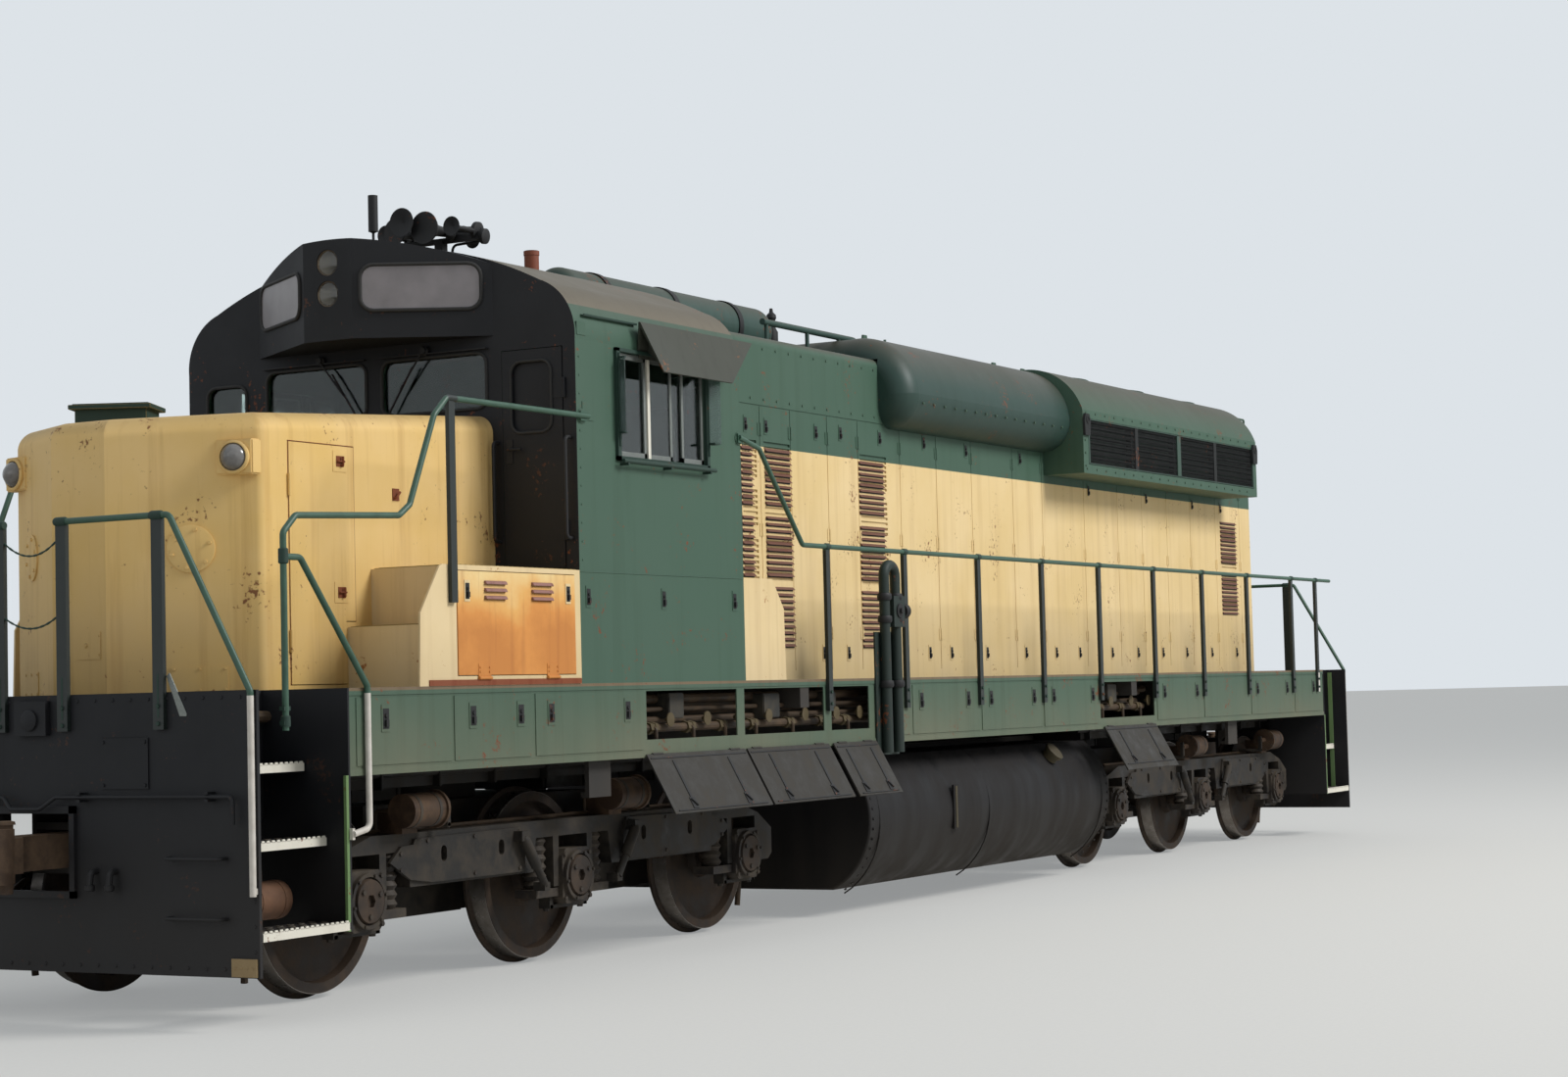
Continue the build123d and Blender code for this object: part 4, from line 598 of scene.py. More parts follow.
# Number boards: blank frosted panels in rounded rubber frames on the housing's slanted faces,
# lit from behind by lamps inside.
# The glass is frosted, grey while unlit, and stained in patches of 140 mm.
board_white = mottled("frosted_board_glass", 7.0, 5.0, ("#8F8A8C", "#686466"), 0.35)
for side, tag in ((-1, "right"), (1, "left")):
    # a frame on the wall: x to the right as seen from outside, y up, z outwards
    out = Vector((side * 0.448, -0.717, 0)).normalized()
    across = Vector((0, 0, 1)).cross(out)
    facing = Matrix((across, (0, 0, 1), out)).transposed().to_4x4()
    wall = Matrix.Translation((side * 0.5345, -5.9805, 4.104)) @ facing
    bm = bmesh.new()
    prism(bm, rounded((0, 0), (0.716, 0.268), 0.075), 2, 0.0, 0.006)
    piece("number_board_" + tag, bm, board_white, place=wall)
    bm = bmesh.new()
    tube(bm, [(x, y, 0.006) for x, y in rounded((0, 0), (0.726, 0.278), 0.08)], 0.012, 8, closed=True)
    piece("number_board_frame_" + tag, bm, rubber, place=wall)

# Headlights: two sealed beams, one over the other, each with a silvered bowl, a fluted lens and a
# steel rim, screwed into the black casting between the number boards.
# Tarnish turns the chromium plate brown and dulls its mirror in spots of 30 mm.
chrome = mottled("tarnished_chrome", 30.0, 3.0, "#5A4F42", (0.12, 0.4), {"Metallic": 1.0})
# clear moulded glass with upright flutes 10 mm apart, which break up the light
lamp_glass, tree, shader, place = finish_for("moulded_lamp_glass")
flutes = add(tree, "TexWave", {"Vector": place, "Scale": 30.0}, "Fac", bands_direction="X")
feed(shader, {"Base Color": "#FFF6E0", "Transmission Weight": 1.0, "Roughness": 0.04,
              "Normal": add(tree, "Bump", {"Height": flutes, "Strength": 0.4, "Distance": 0.001})})


def sealed_beam(name, at, out, r):
    """One sealed lamp: bowl, lens and rim, facing along out. Profiles: distance, share of the radius."""
    for part, material, slot, profile in (
            ("bowl", chrome, "glass", ((-0.03, 0), (-0.026, 0.45), (0, 0.92), (0.002, 0.92), (-0.024, 0.4))),
            ("lens", lamp_glass, "glass", ((0.001, 0.93), (0.006, 0.9), (0.014, 0.5), (0.016, 0))),
            ("rim", chrome, "wheel_steel", ((-0.01, 0.93), (0.006, 0.93), (0.008, 1.0), (-0.01, 1.0)))):
        bm = bmesh.new()
        turned(bm, at, (0, out, 0), [(along, share * r) for along, share in profile], 32)
        piece(name + "_" + part, bm, material)


coat(glare_black, "headlights")
for n, z in ((1, 4.275), (2, 4.085)):
    sealed_beam("headlight_%d" % n, (0, -6.186, z), -1, 0.078)

# Cab side windows: a steel frame round sliding sashes, tinted wind deflectors before and behind,
# a white divider bar and a padded arm rest rod. Drip gutter above.
wall_x = 1.484
bm_frame, bm_sash, bm_white, bm_tint = (bmesh.new() for _ in range(4))
for side in (-1, 1):
    # outer frame: y0, z0, y1, z1
    for y0, z0, y1, z1 in ((-5.325, 3.035, -4.235, 3.062), (-5.325, 3.7, -4.235, 3.722),
                           (-5.325, 3.035, -5.287, 3.722), (-4.268, 3.035, -4.235, 3.722)):
        block(bm_frame, (side * (wall_x - 0.002), y0, z0), (side * 1.505, y1, z1))
    # deflectors: a narrow framed pane standing out from the wall, on hinges
    for y, lean in ((-5.305, -0.04), (-4.25, 0.1)):
        prism(bm_tint, [(side * 1.508, y), (side * 1.56, y + lean * 0.55),
                        (side * 1.564, y + lean * 0.55 + 0.004), (side * 1.512, y + 0.005)], 2, 3.2, 3.66)
        for z in (3.195, 3.655):
            block(bm_frame, (side * 1.5, y - 0.008, z),
                  (side * 1.556, y + 0.008 + max(lean, 0) * 0.5, z + 0.012))
        tube(bm_frame, [(side * 1.508, y, 3.12), (side * 1.508, y, 3.69)], 0.008, 8)
    # sashes in the opening: y0, y1, how far in
    for y0, y1, x in ((-5.28, -4.96, 1.474), (-4.96, -4.64, 1.466), (-4.54, -4.275, 1.474)):
        for a0, b0, a1, b1 in ((y0, 3.062, y1, 3.095), (y0, 3.66, y1, 3.695),
                               (y0, 3.062, y0 + 0.026, 3.695), (y1 - 0.026, 3.062, y1, 3.695)):
            block(bm_sash, (side * (x - 0.006), a0, b0), (side * (x + 0.005), a1, b1))
    block(bm_white, (side * 1.466, -4.945, 3.064), (side * 1.482, -4.915, 3.694))
    # arm rest rod on three brackets below the window
    tube(bm_frame, [(side * 1.535, -5.32, 3.03), (side * 1.535, -4.22, 3.03)], 0.013, 10)
    for y in (-5.27, -4.77, -4.29):
        block(bm_frame, (side * (wall_x - 0.002), y - 0.01, 3.005), (side * 1.545, y + 0.01, 3.02))
    # gutter
    prism(bm_frame, [(side * x, z) for x, z in ((1.462, 3.885), (1.49, 3.88), (1.492, 3.893),
                                                (1.488, 3.893), (1.486, 3.886), (1.462, 3.891))], 1, -5.66,
          -5.06)
window_green = enamel("dark_green_enamel", "#22382F", wear=0.5)
piece("window_frames", bm_frame, window_green, edge=0.0015)
# anodised aluminium: satin grey metal with a 12 mm mottle of dust
alloy = mottled("dull_aluminium_sash", 80.0, 2.0, ("#8D918C", "#6B6F6B"), 0.45, {"Metallic": 0.7})
piece("window_sashes", bm_sash, alloy)
chalk_white = enamel("chalky_white_enamel", "#D8D3C4", dust="#8A7B63", wear=0.4)
piece("window_bars", bm_white, chalk_white)
# acrylic sheet: smoky and see-through, scuffed in patches of 40 mm
tint = mottled("smoked_acrylic", 25.0, 4.0, "#9FB0AC", (0.05, 0.3), {"Transmission Weight": 0.9})
piece("wind_deflectors", bm_tint, tint)

# Cab side panels: seams, a lower equipment cabinet with latches, small cover plates and rivets,
# all steel, welded or riveted to the walls and enamelled with them.
latches("cab_latch", [(y, 2.203) for y in (-5.665, -4.811, -3.938)], (wall_x, -wall_x), paint=cab_green,
        size=(0.055, 0.13))
bm, bm_bracket = bmesh.new(), bmesh.new()
for side in (-1, 1):
    # weld bead between the base and the walls, plates, handrail flanges, and rivets by the corner
    tube(bm, [(side * wall_x, -5.748, 2.35), (side * wall_x, -3.815, 2.35)], 0.004, 6)
    block(bm, (side * wall_x, -5.69, 3.255), (side * 1.488, -5.56, 3.365))
    block(bm, (side * wall_x, -5.735, 3.762), (side * 1.489, -5.64, 3.842))
    for y, z in ((-5.7, 3.276), (-3.84, 3.265)):
        turned(bm, (side * 1.482, y, z), (side, 0, 0), [(0, 0.045), (0.008, 0.043), (0.01, 0.03)], 20)
    for k in range(12):
        bolt(bm, (side * wall_x, -5.715, 2.42 + 0.11 * k), (side, 0, 0), 0.007, 0.004, 0.005)
    # awning brackets, cut flat steel
    for y in (-4.95, -4.25):
        prism(bm_bracket, [(side * 1.486, 3.735), (side * 1.525, 3.855), (side * 1.605, 3.64)], 1,
              y - 0.004, y + 0.004)
    block(bm_bracket, (side * wall_x, -5.05, 3.728), (side * 1.49, -4.13, 3.742))
piece("cab_side_fittings", bm, cab_green)
piece("awning_brackets", bm_bracket, awning_grey)

# Horns and aerials: spun bells, brackets, nuts and the air pipe behind the cast trumpets, on feet
# bolted to the cab's roof.
bm = bmesh.new()
for x, z, r, length, out in ((-0.29, 4.6, 0.062, 0.23, -1), (-0.11, 4.655, 0.092, 0.3, -1),
                             (0.09, 4.585, 0.055, 0.2, 1), (0.25, 4.6, 0.062, 0.26, -1)):
    # rolled lip of the bell, and the diaphragm cap with its nuts at the back
    tube(bm, [(x + u, -5.0 + out * (length - 0.004), z + v) for u, v in circle(r - 0.003, 32)], 0.003, 6,
         closed=True)
    turned(bm, (x, -5.0 - out * 0.035, z), (0, -out, 0),
           [(0, 0.034), (0.022, 0.034), (0.03, 0.026), (0.036, 0.01)], 20)
    for u, v in circle(0.026, 6):
        bolt(bm, (x + u, -5.0 - out * 0.057, z + v), (0, -out, 0), 0.005, 0.006, 0.005)
tube(bm, bent([(0.02, -4.93, 4.42), (0.02, -4.93, 4.54), (0.28, -4.95, 4.545)], 0.04), 0.009, 8)
# feet of the horn and of the aerial, and the aerial's cap
turned(bm, (-0.02, -5.0, 4.385), (0, 0, 1), [(0, 0.08), (0.02, 0.08), (0.026, 0.06)], 20)
turned(bm, (-0.56, -5.0, 4.34), (0, 0, 1), [(0, 0.05), (0.014, 0.05), (0.022, 0.03), (0.06, 0.014)], 16)
bolt(bm, (-0.56, -5.0, 4.672), (0, 0, 1), 0.014, 0.012, 0.03, 16)
# the two largest bells, flared sheet on the front of their trumpets, and two turned aside
for x, r in ((-0.2, 0.086), (0.03, 0.106)):
    turned(bm, (x, -5.25, 4.612), (0, 1, 0), [(0.012, 0.0), (0.0, r * 0.97), (0.004, r), (0.03, r * 0.86),
                                              (0.075, r * 0.52), (0.14, r * 0.34), (0.24, 0.03),
                                              (0.27, 0.03)], 28)
for x, z, r in ((0.01, 4.632, 0.062), (0.065, 4.595, 0.05)):
    turned(bm, (x, -4.99, z), (0.97, 0.05, -0.12),
           [(0, 0.026), (0.2, 0.03), (0.23, r), (0.255, r), (0.262, r * 0.6)], 20)
piece("horn_fittings", bm, hardware_black)
bm = bmesh.new()
turned(bm, (0.68, -5.0, 4.3), (0, 0, 1),
       [(0, 0.0465), (0.1, 0.0465), (0.1, 0.05), (0.128, 0.05), (0.131, 0.03)], 24)
piece("vent_cap", bm, enamel("rusted_red_oxide", "#7B4127", wear=0.9))

# Cab interior: a control stand of grey-green steel sheet with gauges and levers, and two seats on
# pedestals bolted to the floor.
# The grey-green enamel is little worn indoors.
lining = enamel("cab_lining_enamel", "#6D7F72", wear=0.3)
coat(lining, "control_stand")
bm = bmesh.new()
# desk top, gauge panel and cabinet doors of the stand
for x0, x1, y0, y1, z0, z1 in ((-0.94, -0.41, -5.445, -5.16, 3.42, 3.445),
                               (-0.93, -0.69, -4.955, -4.94, 2.45, 2.95),
                               (-0.66, -0.42, -4.955, -4.94, 2.45, 2.95)):
    block(bm, (x0, y0, z0), (x1, y1, z1))
piece("stand_panels", bm, lining, edge=0.003)
bm = bmesh.new()
for k, x in enumerate((-0.85, -0.72, -0.59, -0.48)):
    # throttle, brake and reverser levers rise from quadrants on the sloping desk
    turned(bm, (x, -5.03, 3.22), (0, 0.62, 0.78), [(0, 0.03), (0.015, 0.03), (0.018, 0.01),
                                                   (0.11 + 0.02 * k, 0.008), (0.115 + 0.02 * k, 0.018),
                                                   (0.15 + 0.02 * k, 0.016)], 14)
piece("stand_levers", bm, hardware_black)
bm = bmesh.new()
for x in (-0.84, -0.68, -0.52):
    turned(bm, (x, -5.158, 3.432), (0, 0.9, 0.44), [(0, 0.052), (0.022, 0.052), (0.024, 0.044)], 24)
piece("stand_gauges", bm, chrome)

# seats: crowned vinyl cushions on the pedestals, in place of the plain forms
vinyl = mottled("cracked_black_vinyl", 8.0, 4.0, ("#1D1A18", "#37302A"), 0.45)
tree = vinyl.node_tree
# cracks in the vinyl's skin, 4 mm apart, give a leathery look
hide = add(tree, "TexVoronoi", {"Vector": add(tree, "TexCoord", out="Object"), "Scale": 260.0},
           feature="DISTANCE_TO_EDGE")
cracks = add(tree, "Bump", {"Height": hide, "Strength": 0.4, "Distance": 0.0006})
feed(tree.nodes["Principled BSDF"], {"Normal": cracks})
coat(vinyl, "seats")


def cushion(name, middle, size, crown, up_axis):
    """A stuffed pad: a rounded box whose face swells by crown."""
    bm = bmesh.new()
    bmesh.ops.create_cube(bm, size=2.0)
    bmesh.ops.subdivide_edges(bm, edges=bm.edges, cuts=11, use_grid_fill=True)
    for v in bm.verts:
        # a superellipsoid keeps the sides full and the corners round
        n = sum(abs(c) ** 6 for c in v.co) ** (1 / 6)
        u = [c / n for c in v.co]
        swell = crown * math.prod(1 - u[k] ** 2 for k in range(3) if k != up_axis)
        v.co = Vector([middle[k] + u[k] * (size[k] / 2 + (swell if k == up_axis else 0)) for k in range(3)])
    piece(name, bm, vinyl, angle=80)


bm = bmesh.new()
for side, tag in ((-1, "right"), (1, "left")):
    x = side * 1.13
    cushion("seat_cushion_" + tag, (x, -4.65, 2.855), (0.47, 0.45, 0.09), 0.015, 2)
    cushion("seat_back_" + tag, (x, -4.44, 3.17), (0.45, 0.08, 0.53), 0.012, 1)
    turned(bm, (x, -4.65, 2.341), (0, 0, 1),
           [(0, 0.16), (0.012, 0.16), (0.03, 0.062), (0.455, 0.062), (0.458, 0.12), (0.47, 0.12)], 24)
    for out in (-1, 1):
        # arm rests, padded too, on bent tubes
        cushion("seat_arm_%s_%s" % (tag, "outer" if out == side else "inner"),
                (x + out * 0.205, -4.62, 3.06), (0.055, 0.26, 0.045), 0.003, 2)
        tube(bm, bent([(x + out * 0.19, -4.5, 2.8), (x + out * 0.222, -4.47, 2.8),
                       (x + out * 0.222, -4.47, 3.036), (x + out * 0.222, -4.74, 3.036)], 0.03), 0.009, 8)
    tube(bm, [(x, -4.46, 2.8), (x, -4.408, 3.3)], 0.014, 8)
seat_frames = piece("seat_frames", bm, hardware_black)
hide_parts("seats")

# Low nose: welded steel with a door on the left side, yellow enamel with rust at the seams. Its
# lamps, covers and latches are bolted on.
nose_yellow = enamel("yellow_enamel", "#DFB96F", dust_top=2.4, dust="#6E5736", wear=0.7, soot=0.3)
coat(nose_yellow, "nose", "nose_door")
bm = bmesh.new()
for side in (-1, 1):
    # wedge housing of the class lamp, turned almost straight ahead
    prism(bm, [(side * x, y) for x, y in ((0.885, -7.906), (0.888, -7.99), (0.682, -8.046), (0.65, -8.0))],
          2, 2.842, 3.032)
piece("class_lamp_housings", bm, nose_yellow, edge=0.008)
# lamp glass blasted by dust: pale grey and half matt, in patches of 25 mm
lamp_grey = mottled("sandblasted_lamp_glass", 40.0, 4.0, ("#8A8783", "#5C5A59"), 0.18)
for side, tag in ((-1, "right"), (1, "left")):
    for part, material, slot, profile in (("rim_", nose_yellow, "yellow_paint",
                                           [(-0.03, 0.09), (0.012, 0.09), (0.018, 0.082), (0.018, 0.076),
                                            (0.004, 0.072), (-0.03, 0.072)]),
                                          ("dome_", lamp_grey, "glass",
                                           [(-0.01, 0.073), (0.012, 0.073), (0.036, 0.06), (0.056, 0.036),
                                            (0.064, 0.014), (0.066, 0.0)])):
        bm = bmesh.new()
        turned(bm, (side * 0.789, -8.02, 2.935), (side * 0.25, -0.97, 0), profile, 32)
        piece("class_lamp_" + part + tag, bm, material)

# round bolted cover and low hatch on the nose's facets, with raised rims and six bolts each
bm = bmesh.new()
up = Vector((0, 0, 1))
for side in (-1, 1):
    out = Vector((side * 0.548, -0.836, 0)).normalized()
    across = up.cross(out)
    at = Vector((side * 0.566, -8.114, 2.452))
    turned(bm, at, out, [(-0.004, 0.128), (0.01, 0.128), (0.012, 0.12), (0.012, 0.0)], 40)
    for u, v in circle(0.104, 6, 0.3):
        bolt(bm, at + u * across + v * up + 0.012 * out, out, 0.011, 0.008, 0.01)
    low = Vector((side * 0.597, -8.093, 1.754))
    corners = [low + across * u + up * v for u,
               v in ((-0.15, -0.068), (0.15, -0.068), (0.15, 0.068), (-0.15, 0.068))]
    for ring in skin(bm, [[c + out * off for c in corners] for off in (0.006, -0.004)]):
        bm.faces.new(ring)
    for u in (-0.135, 0, 0.135):
        for v in (-0.055, 0.055):
            bolt(bm, low + across * u + up * v + out * 0.006, out, 0.008, 0.005, 0.007)
block(bm, (-0.009, -8.366, 1.876), (0.152, -8.36, 2.023))
bolt(bm, (0.05, -8.366, 1.95), (0, -1, 0), 0.014, 0.01, 0.01, 12)
for z in (1.9, 2.0):
    bolt(bm, (0.14, -8.366, z), (0, -1, 0), 0.006, 0.005, 0.005)
piece("nose_covers", bm, nose_yellow)

# rust runs in the door's seams, and latches in square recesses with rusty T-handles
# bare rust, red-brown and without any gloss
seam_rust = enamel("seam_rust", "#7A3E1E", rust="#5A2A14", wear=1.0, gloss=0.0)
bm, bm_plate, bm_handle = bmesh.new(), bmesh.new(), bmesh.new()
for y0, z0, y1, z1 in ((-7.692, 1.712, -7.688, 3.04), (-7.692, 3.038, -7.114, 3.042),
                       (-7.118, 2.06, -7.114, 3.04)):
    block(bm, (0.8822, y0, z0), (0.8838, y1, z1))
piece("nose_seam_rust", bm, seam_rust)
for y, z in ((-7.246, 2.95), (-7.246, 2.222)):
    block(bm_plate, (0.887, y - 0.06, z - 0.058), (0.89, y + 0.06, z + 0.058))
    block(bm_handle, (0.889, y - 0.032, z - 0.03), (0.893, y + 0.032, z + 0.03))
    tube(bm_handle, bent([(0.89, y + 0.012, z - 0.025), (0.906, y + 0.012, z - 0.025),
                          (0.906, y + 0.012, z + 0.028)], 0.006), 0.006, 8)
    tube(bm_handle, [(0.902, y - 0.03, z), (0.902, y + 0.03, z)], 0.005, 8)
piece("nose_door_latch_plates", bm_plate, nose_yellow, "nose_door")
piece("nose_door_latches", bm_handle, seam_rust, "nose_door")
bm = bmesh.new()
block(bm, (0.883, -6.762, 2.755), (0.888, -6.702, 2.825))
tube(bm, bent([(0.885, -6.75, 2.77), (0.905, -6.75, 2.77), (0.905, -6.715, 2.805)], 0.006), 0.007, 8)
piece("nose_side_latch", bm, seam_rust)
# ventilator on the nose's top: half sizes and heights of its three plates
bm = bmesh.new()
for x, y, z0, z1 in ((0.202, 0.137, 0.0, 0.097), (0.232, 0.167, 0.095, 0.121), (0.215, 0.15, 0.121, 0.127)):
    block(bm, (-x, -y, z0), (x, y, z1))
turn = Matrix.Translation((-0.3, -7.72, 3.183)) @ Matrix.Rotation(math.radians(27), 4, "Z")
piece("nose_ventilator", bm, window_green, place=turn, edge=0.004)

# Side boxes beside the nose: folded sheet with recessed steps, bleached cream, their louvred
# doors burnt orange by rust, over a rusted base plate.
cream = enamel("bleached_cream_enamel", "#D6BD8C", dust_top=2.0, rust="#9A5A26")
coat(cream, "side_box_left", "side_box_right")
# cream enamel that rust has burnt through: orange and matt, with runs 55 mm wide and 11 mm pits
orange, tree, shader, place = finish_for("rust_burnt_enamel")
cloud = add(tree, "TexNoise", {"Vector": place, "Scale": 2.6, "Detail": 6.0, "Roughness": 0.6})
# rust is deepest at mid height and thins to cream at the top edge
height = add(tree, "SeparateXYZ", {0: place}, 2)
fade = add(tree, "MapRange", {0: height, 1: 2.32, 2: 1.98, 3: 0.05, 4: 0.75})
depth = add(tree, "Math", {0: fade, 1: cloud}, operation="ADD")
burnt = add(tree, "ValToRGB", {0: add(tree, "MapRange", {0: depth, 1: 0.4, 2: 1.3})})
stops = burnt.node.color_ramp.elements
stops[0].color, stops[1].color = linear("#E6CE93"), linear("#BF7A35")
stops.new(0.45).color = linear("#DDA75C")
stops.new(0.75).color = linear("#D18B41")
stretched = add(tree, "Mapping", {"Vector": place, "Scale": (18.0, 18.0, 1.2)})
run = add(tree, "TexNoise", {"Vector": stretched, "Scale": 1.0, "Detail": 4.0})
drip = add(tree, "MapRange", {0: run, 1: 0.55, 2: 0.75, 3: 0.0, 4: 0.5})
pit = add(tree, "TexNoise", {"Vector": place, "Scale": 90.0, "Detail": 3.0})
pits = add(tree, "Bump", {"Height": pit, "Strength": 0.3, "Distance": 0.0008})
feed(shader, {"Base Color": add(tree, "Mix", {0: drip, 6: burnt, 7: "#A5632B"}, 2, data_type="RGBA"),
              "Roughness": 0.7, "Normal": pits})
coat(orange, "box_door_left", "box_door_right")
for side, tag in ((1, "left"), (-1, "right")):
    door = "box_door_" + tag
    latches("box_latch_" + tag, [(-6.9, 2.215), (-5.89, 2.215)], (side * 1.488,), door, paint=cream)
    bm = bmesh.new()
    for y in (-6.63, -6.162):
        for z in (2.176, 2.218, 2.26):
            # hooded louvre: bulged sheet over the slot, open below
            prism(bm, [(side * 1.4885, z + 0.016), (side * 1.5, z + 0.011), (side * 1.506, z - 0.002),
                       (side * 1.506, z - 0.006), (side * 1.4885, z - 0.004)], 1, y - 0.104, y + 0.104)
    piece("box_louvres_" + tag, bm, enamel("dull_purple_oxide_" + tag, "#8A5F55", wear=0.8),
          door, edge=0.002)
    bm = bmesh.new()
    for y in (-6.789, -6.699, -6.105, -6.015):
        for z in (1.765, 1.79):
            bolt(bm, (side * 1.4905, y, z), (side, 0, 0), 0.007, 0.005, 0.006)
    piece("box_hinge_bolts_" + tag, bm, orange, door)
bm, bm_tread = bmesh.new(), bmesh.new()
for side in (-1, 1):
    block(bm, (side * 1.484, -7.26, 1.69), (side * 1.489, -5.76, 1.722))
    # steps: sheet with raised ribs across
    for y0, y1, z in ((-7.19, -6.972, 2.029), (-6.968, -5.76, 2.358), (-3.806, -3.642, 2.358),
                      (-3.638, -3.432, 2.029)):
        block(bm_tread, (side * 0.9, y0 + 0.004, z), (side * 1.466, y1 - 0.004, z + 0.004))
        n = int((y1 - y0) / 0.05)
        for i in range(n):
            y = y0 + (i + 0.5) * (y1 - y0) / n
            block(bm_tread, (side * 0.92, y - 0.004, z + 0.003), (side * 1.45, y + 0.004, z + 0.007))
piece("box_base_plates", bm, seam_rust)
# yellow enamel that boots have scuffed to brown steel
tread_grip = enamel("scuffed_step_enamel", "#A98F4C", dust="#6E6450", dust_top=3.0, wear=1.0, gloss=0.1)
piece("box_step_treads", bm_tread, tread_grip)

# Side sills: green enamelled sheet with hinged doors, rusty along the deck's edge, and the
# equipment that shows where three of its bays stand open.
sill_green = enamel("sill_green_enamel", green, upper="#6B5A43", split=1.672, dust_top=1.75, wear=0.8)
coat(sill_green, "sill_left", "sill_right")
sill_doors = (-7.653, -6.858, -6.392, -6.082, -5.257, -1.251, -0.456, -0.048, 0.757, 1.145, 1.95, 3.57,
              4.365, 5.985, 6.839, 7.644)
latches("sill_latch", [(y, 1.524) for y in sill_doors], (wall_x, -wall_x), paint=sill_green,
        size=(0.075, 0.145))
latches("sill_latch_right", [(y, 1.524) for y in (-4.75, -4.1, -3.6, -2.95, -2.36, 2.36, 3.1)], (-wall_x,),
        paint=sill_green, size=(0.055, 0.135))
bm_pipe, bm_valve, bm_box = bmesh.new(), bmesh.new(), bmesh.new()
# pipes behind the open bays: height, how far in, radius
for z, x, r in ((1.405, 1.36, 0.026), (1.455, 1.3, 0.02), (1.52, 1.33, 0.015), (1.585, 1.28, 0.03)):
    for y0, y1 in ((-5.02, -1.55), (2.12, 3.34)):
        tube(bm_pipe, [(x, y0, z), (x, y1, z)], r)
for y in (-4.8, -4.35, -3.95, -3.55, -3.05, -2.6, -2.25, 2.35, 2.8, 3.2):
    # unions, valves with hand wheels and drop pipes
    turned(bm_valve, (1.36, y - 0.045, 1.405), (0, 1, 0),
           [(0, 0.04), (0.03, 0.04), (0.034, 0.034), (0.056, 0.034), (0.06, 0.04), (0.09, 0.04)], 6)
    tube(bm_pipe, bent([(1.36, y, 1.405), (1.4, y, 1.405), (1.4, y, 1.26)], 0.03), 0.013, 8)
    turned(bm_valve, (1.385, y + 0.14, 1.455), (1, 0, 0),
           [(0, 0.012), (0.03, 0.012), (0.032, 0.045), (0.04, 0.045), (0.042, 0.012)], 16)
for y0, y1, z0, z1 in ((-4.62, -4.44, 1.46, 1.62), (-3.42, -3.2, 1.44, 1.6), (-2.52, -2.4, 1.48, 1.6),
                       (2.5, 2.7, 1.45, 1.6)):
    block(bm_box, (1.2, y0, z0), (1.39, y1, z1))


def grimy_steel(name, base, dust, oil=0.5):
    """Cast and rolled steel under the deck: its paint is long since covered by oil, brake dust and dried
    mud, so it is a rough dark base under dust that gathers on upward faces."""
    material, tree, shader, place = finish_for(name)
    # blotches of oil 170 mm across, and a cast skin with a grain of 7 mm
    blotch = add(tree, "TexNoise", {"Vector": place, "Scale": 6.0, "Detail": 6.0, "Roughness": 0.65})
    upward = add(tree, "SeparateXYZ", {0: add(tree, "NewGeometry", out="Normal")}, 2)
    ledge = add(tree, "MapRange", {0: upward, 1: 0.2, 2: 0.95, 3: 0.0, 4: 0.6})
    spread = add(tree, "MapRange", {0: blotch, 1: 0.42, 2: 0.68, 3: 0.0, 4: 0.55})
    dusty = add(tree, "Math", {0: ledge, 1: spread}, operation="MAXIMUM")
    grain = add(tree, "TexNoise", {"Vector": place, "Scale": 140.0, "Detail": 3.0})
    rough = add(tree, "MapRange", {0: blotch, 1: 0.3, 2: 0.7, 3: 0.5 - 0.2 * oil, 4: 0.85})
    pitted = add(tree, "Bump", {"Height": grain, "Strength": 0.4, "Distance": 0.0012})
    feed(shader, {"Base Color": add(tree, "Mix", {0: dusty, 6: base, 7: dust}, 2, data_type="RGBA"),
                  "Roughness": rough, "Specular IOR Level": 0.25, "Normal": pitted})
    return material


pipe_steel = grimy_steel("rusty_pipe_steel", "#33291F", "#6B5844", oil=0.2)
piece("bay_pipes", bm_pipe, pipe_steel)
piece("bay_valves", bm_valve, grimy_steel("brass_under_grime", "#4A3F28", "#6B604C"))
piece("bay_boxes", bm_box, grimy_steel("sooty_box_steel", "#2A2A28", "#5B5345"), edge=0.006)

# Flaps that hang open from the left sill: ribbed steel sheets, dark with oil inside, with a
# pair of latches near their lower edge.
flap_steel = grimy_steel("oily_flap_steel", "#272624", "#4C463D", oil=0.6)
# fittings are drawn shut against the sill, then turned down with the flap about its hinge
hinge = Vector((1.4933, 0, 1.248))
turn = Matrix.Translation(hinge) @ Matrix.Rotation(math.radians(151), 4, "Y") @ Matrix.Translation(-hinge)
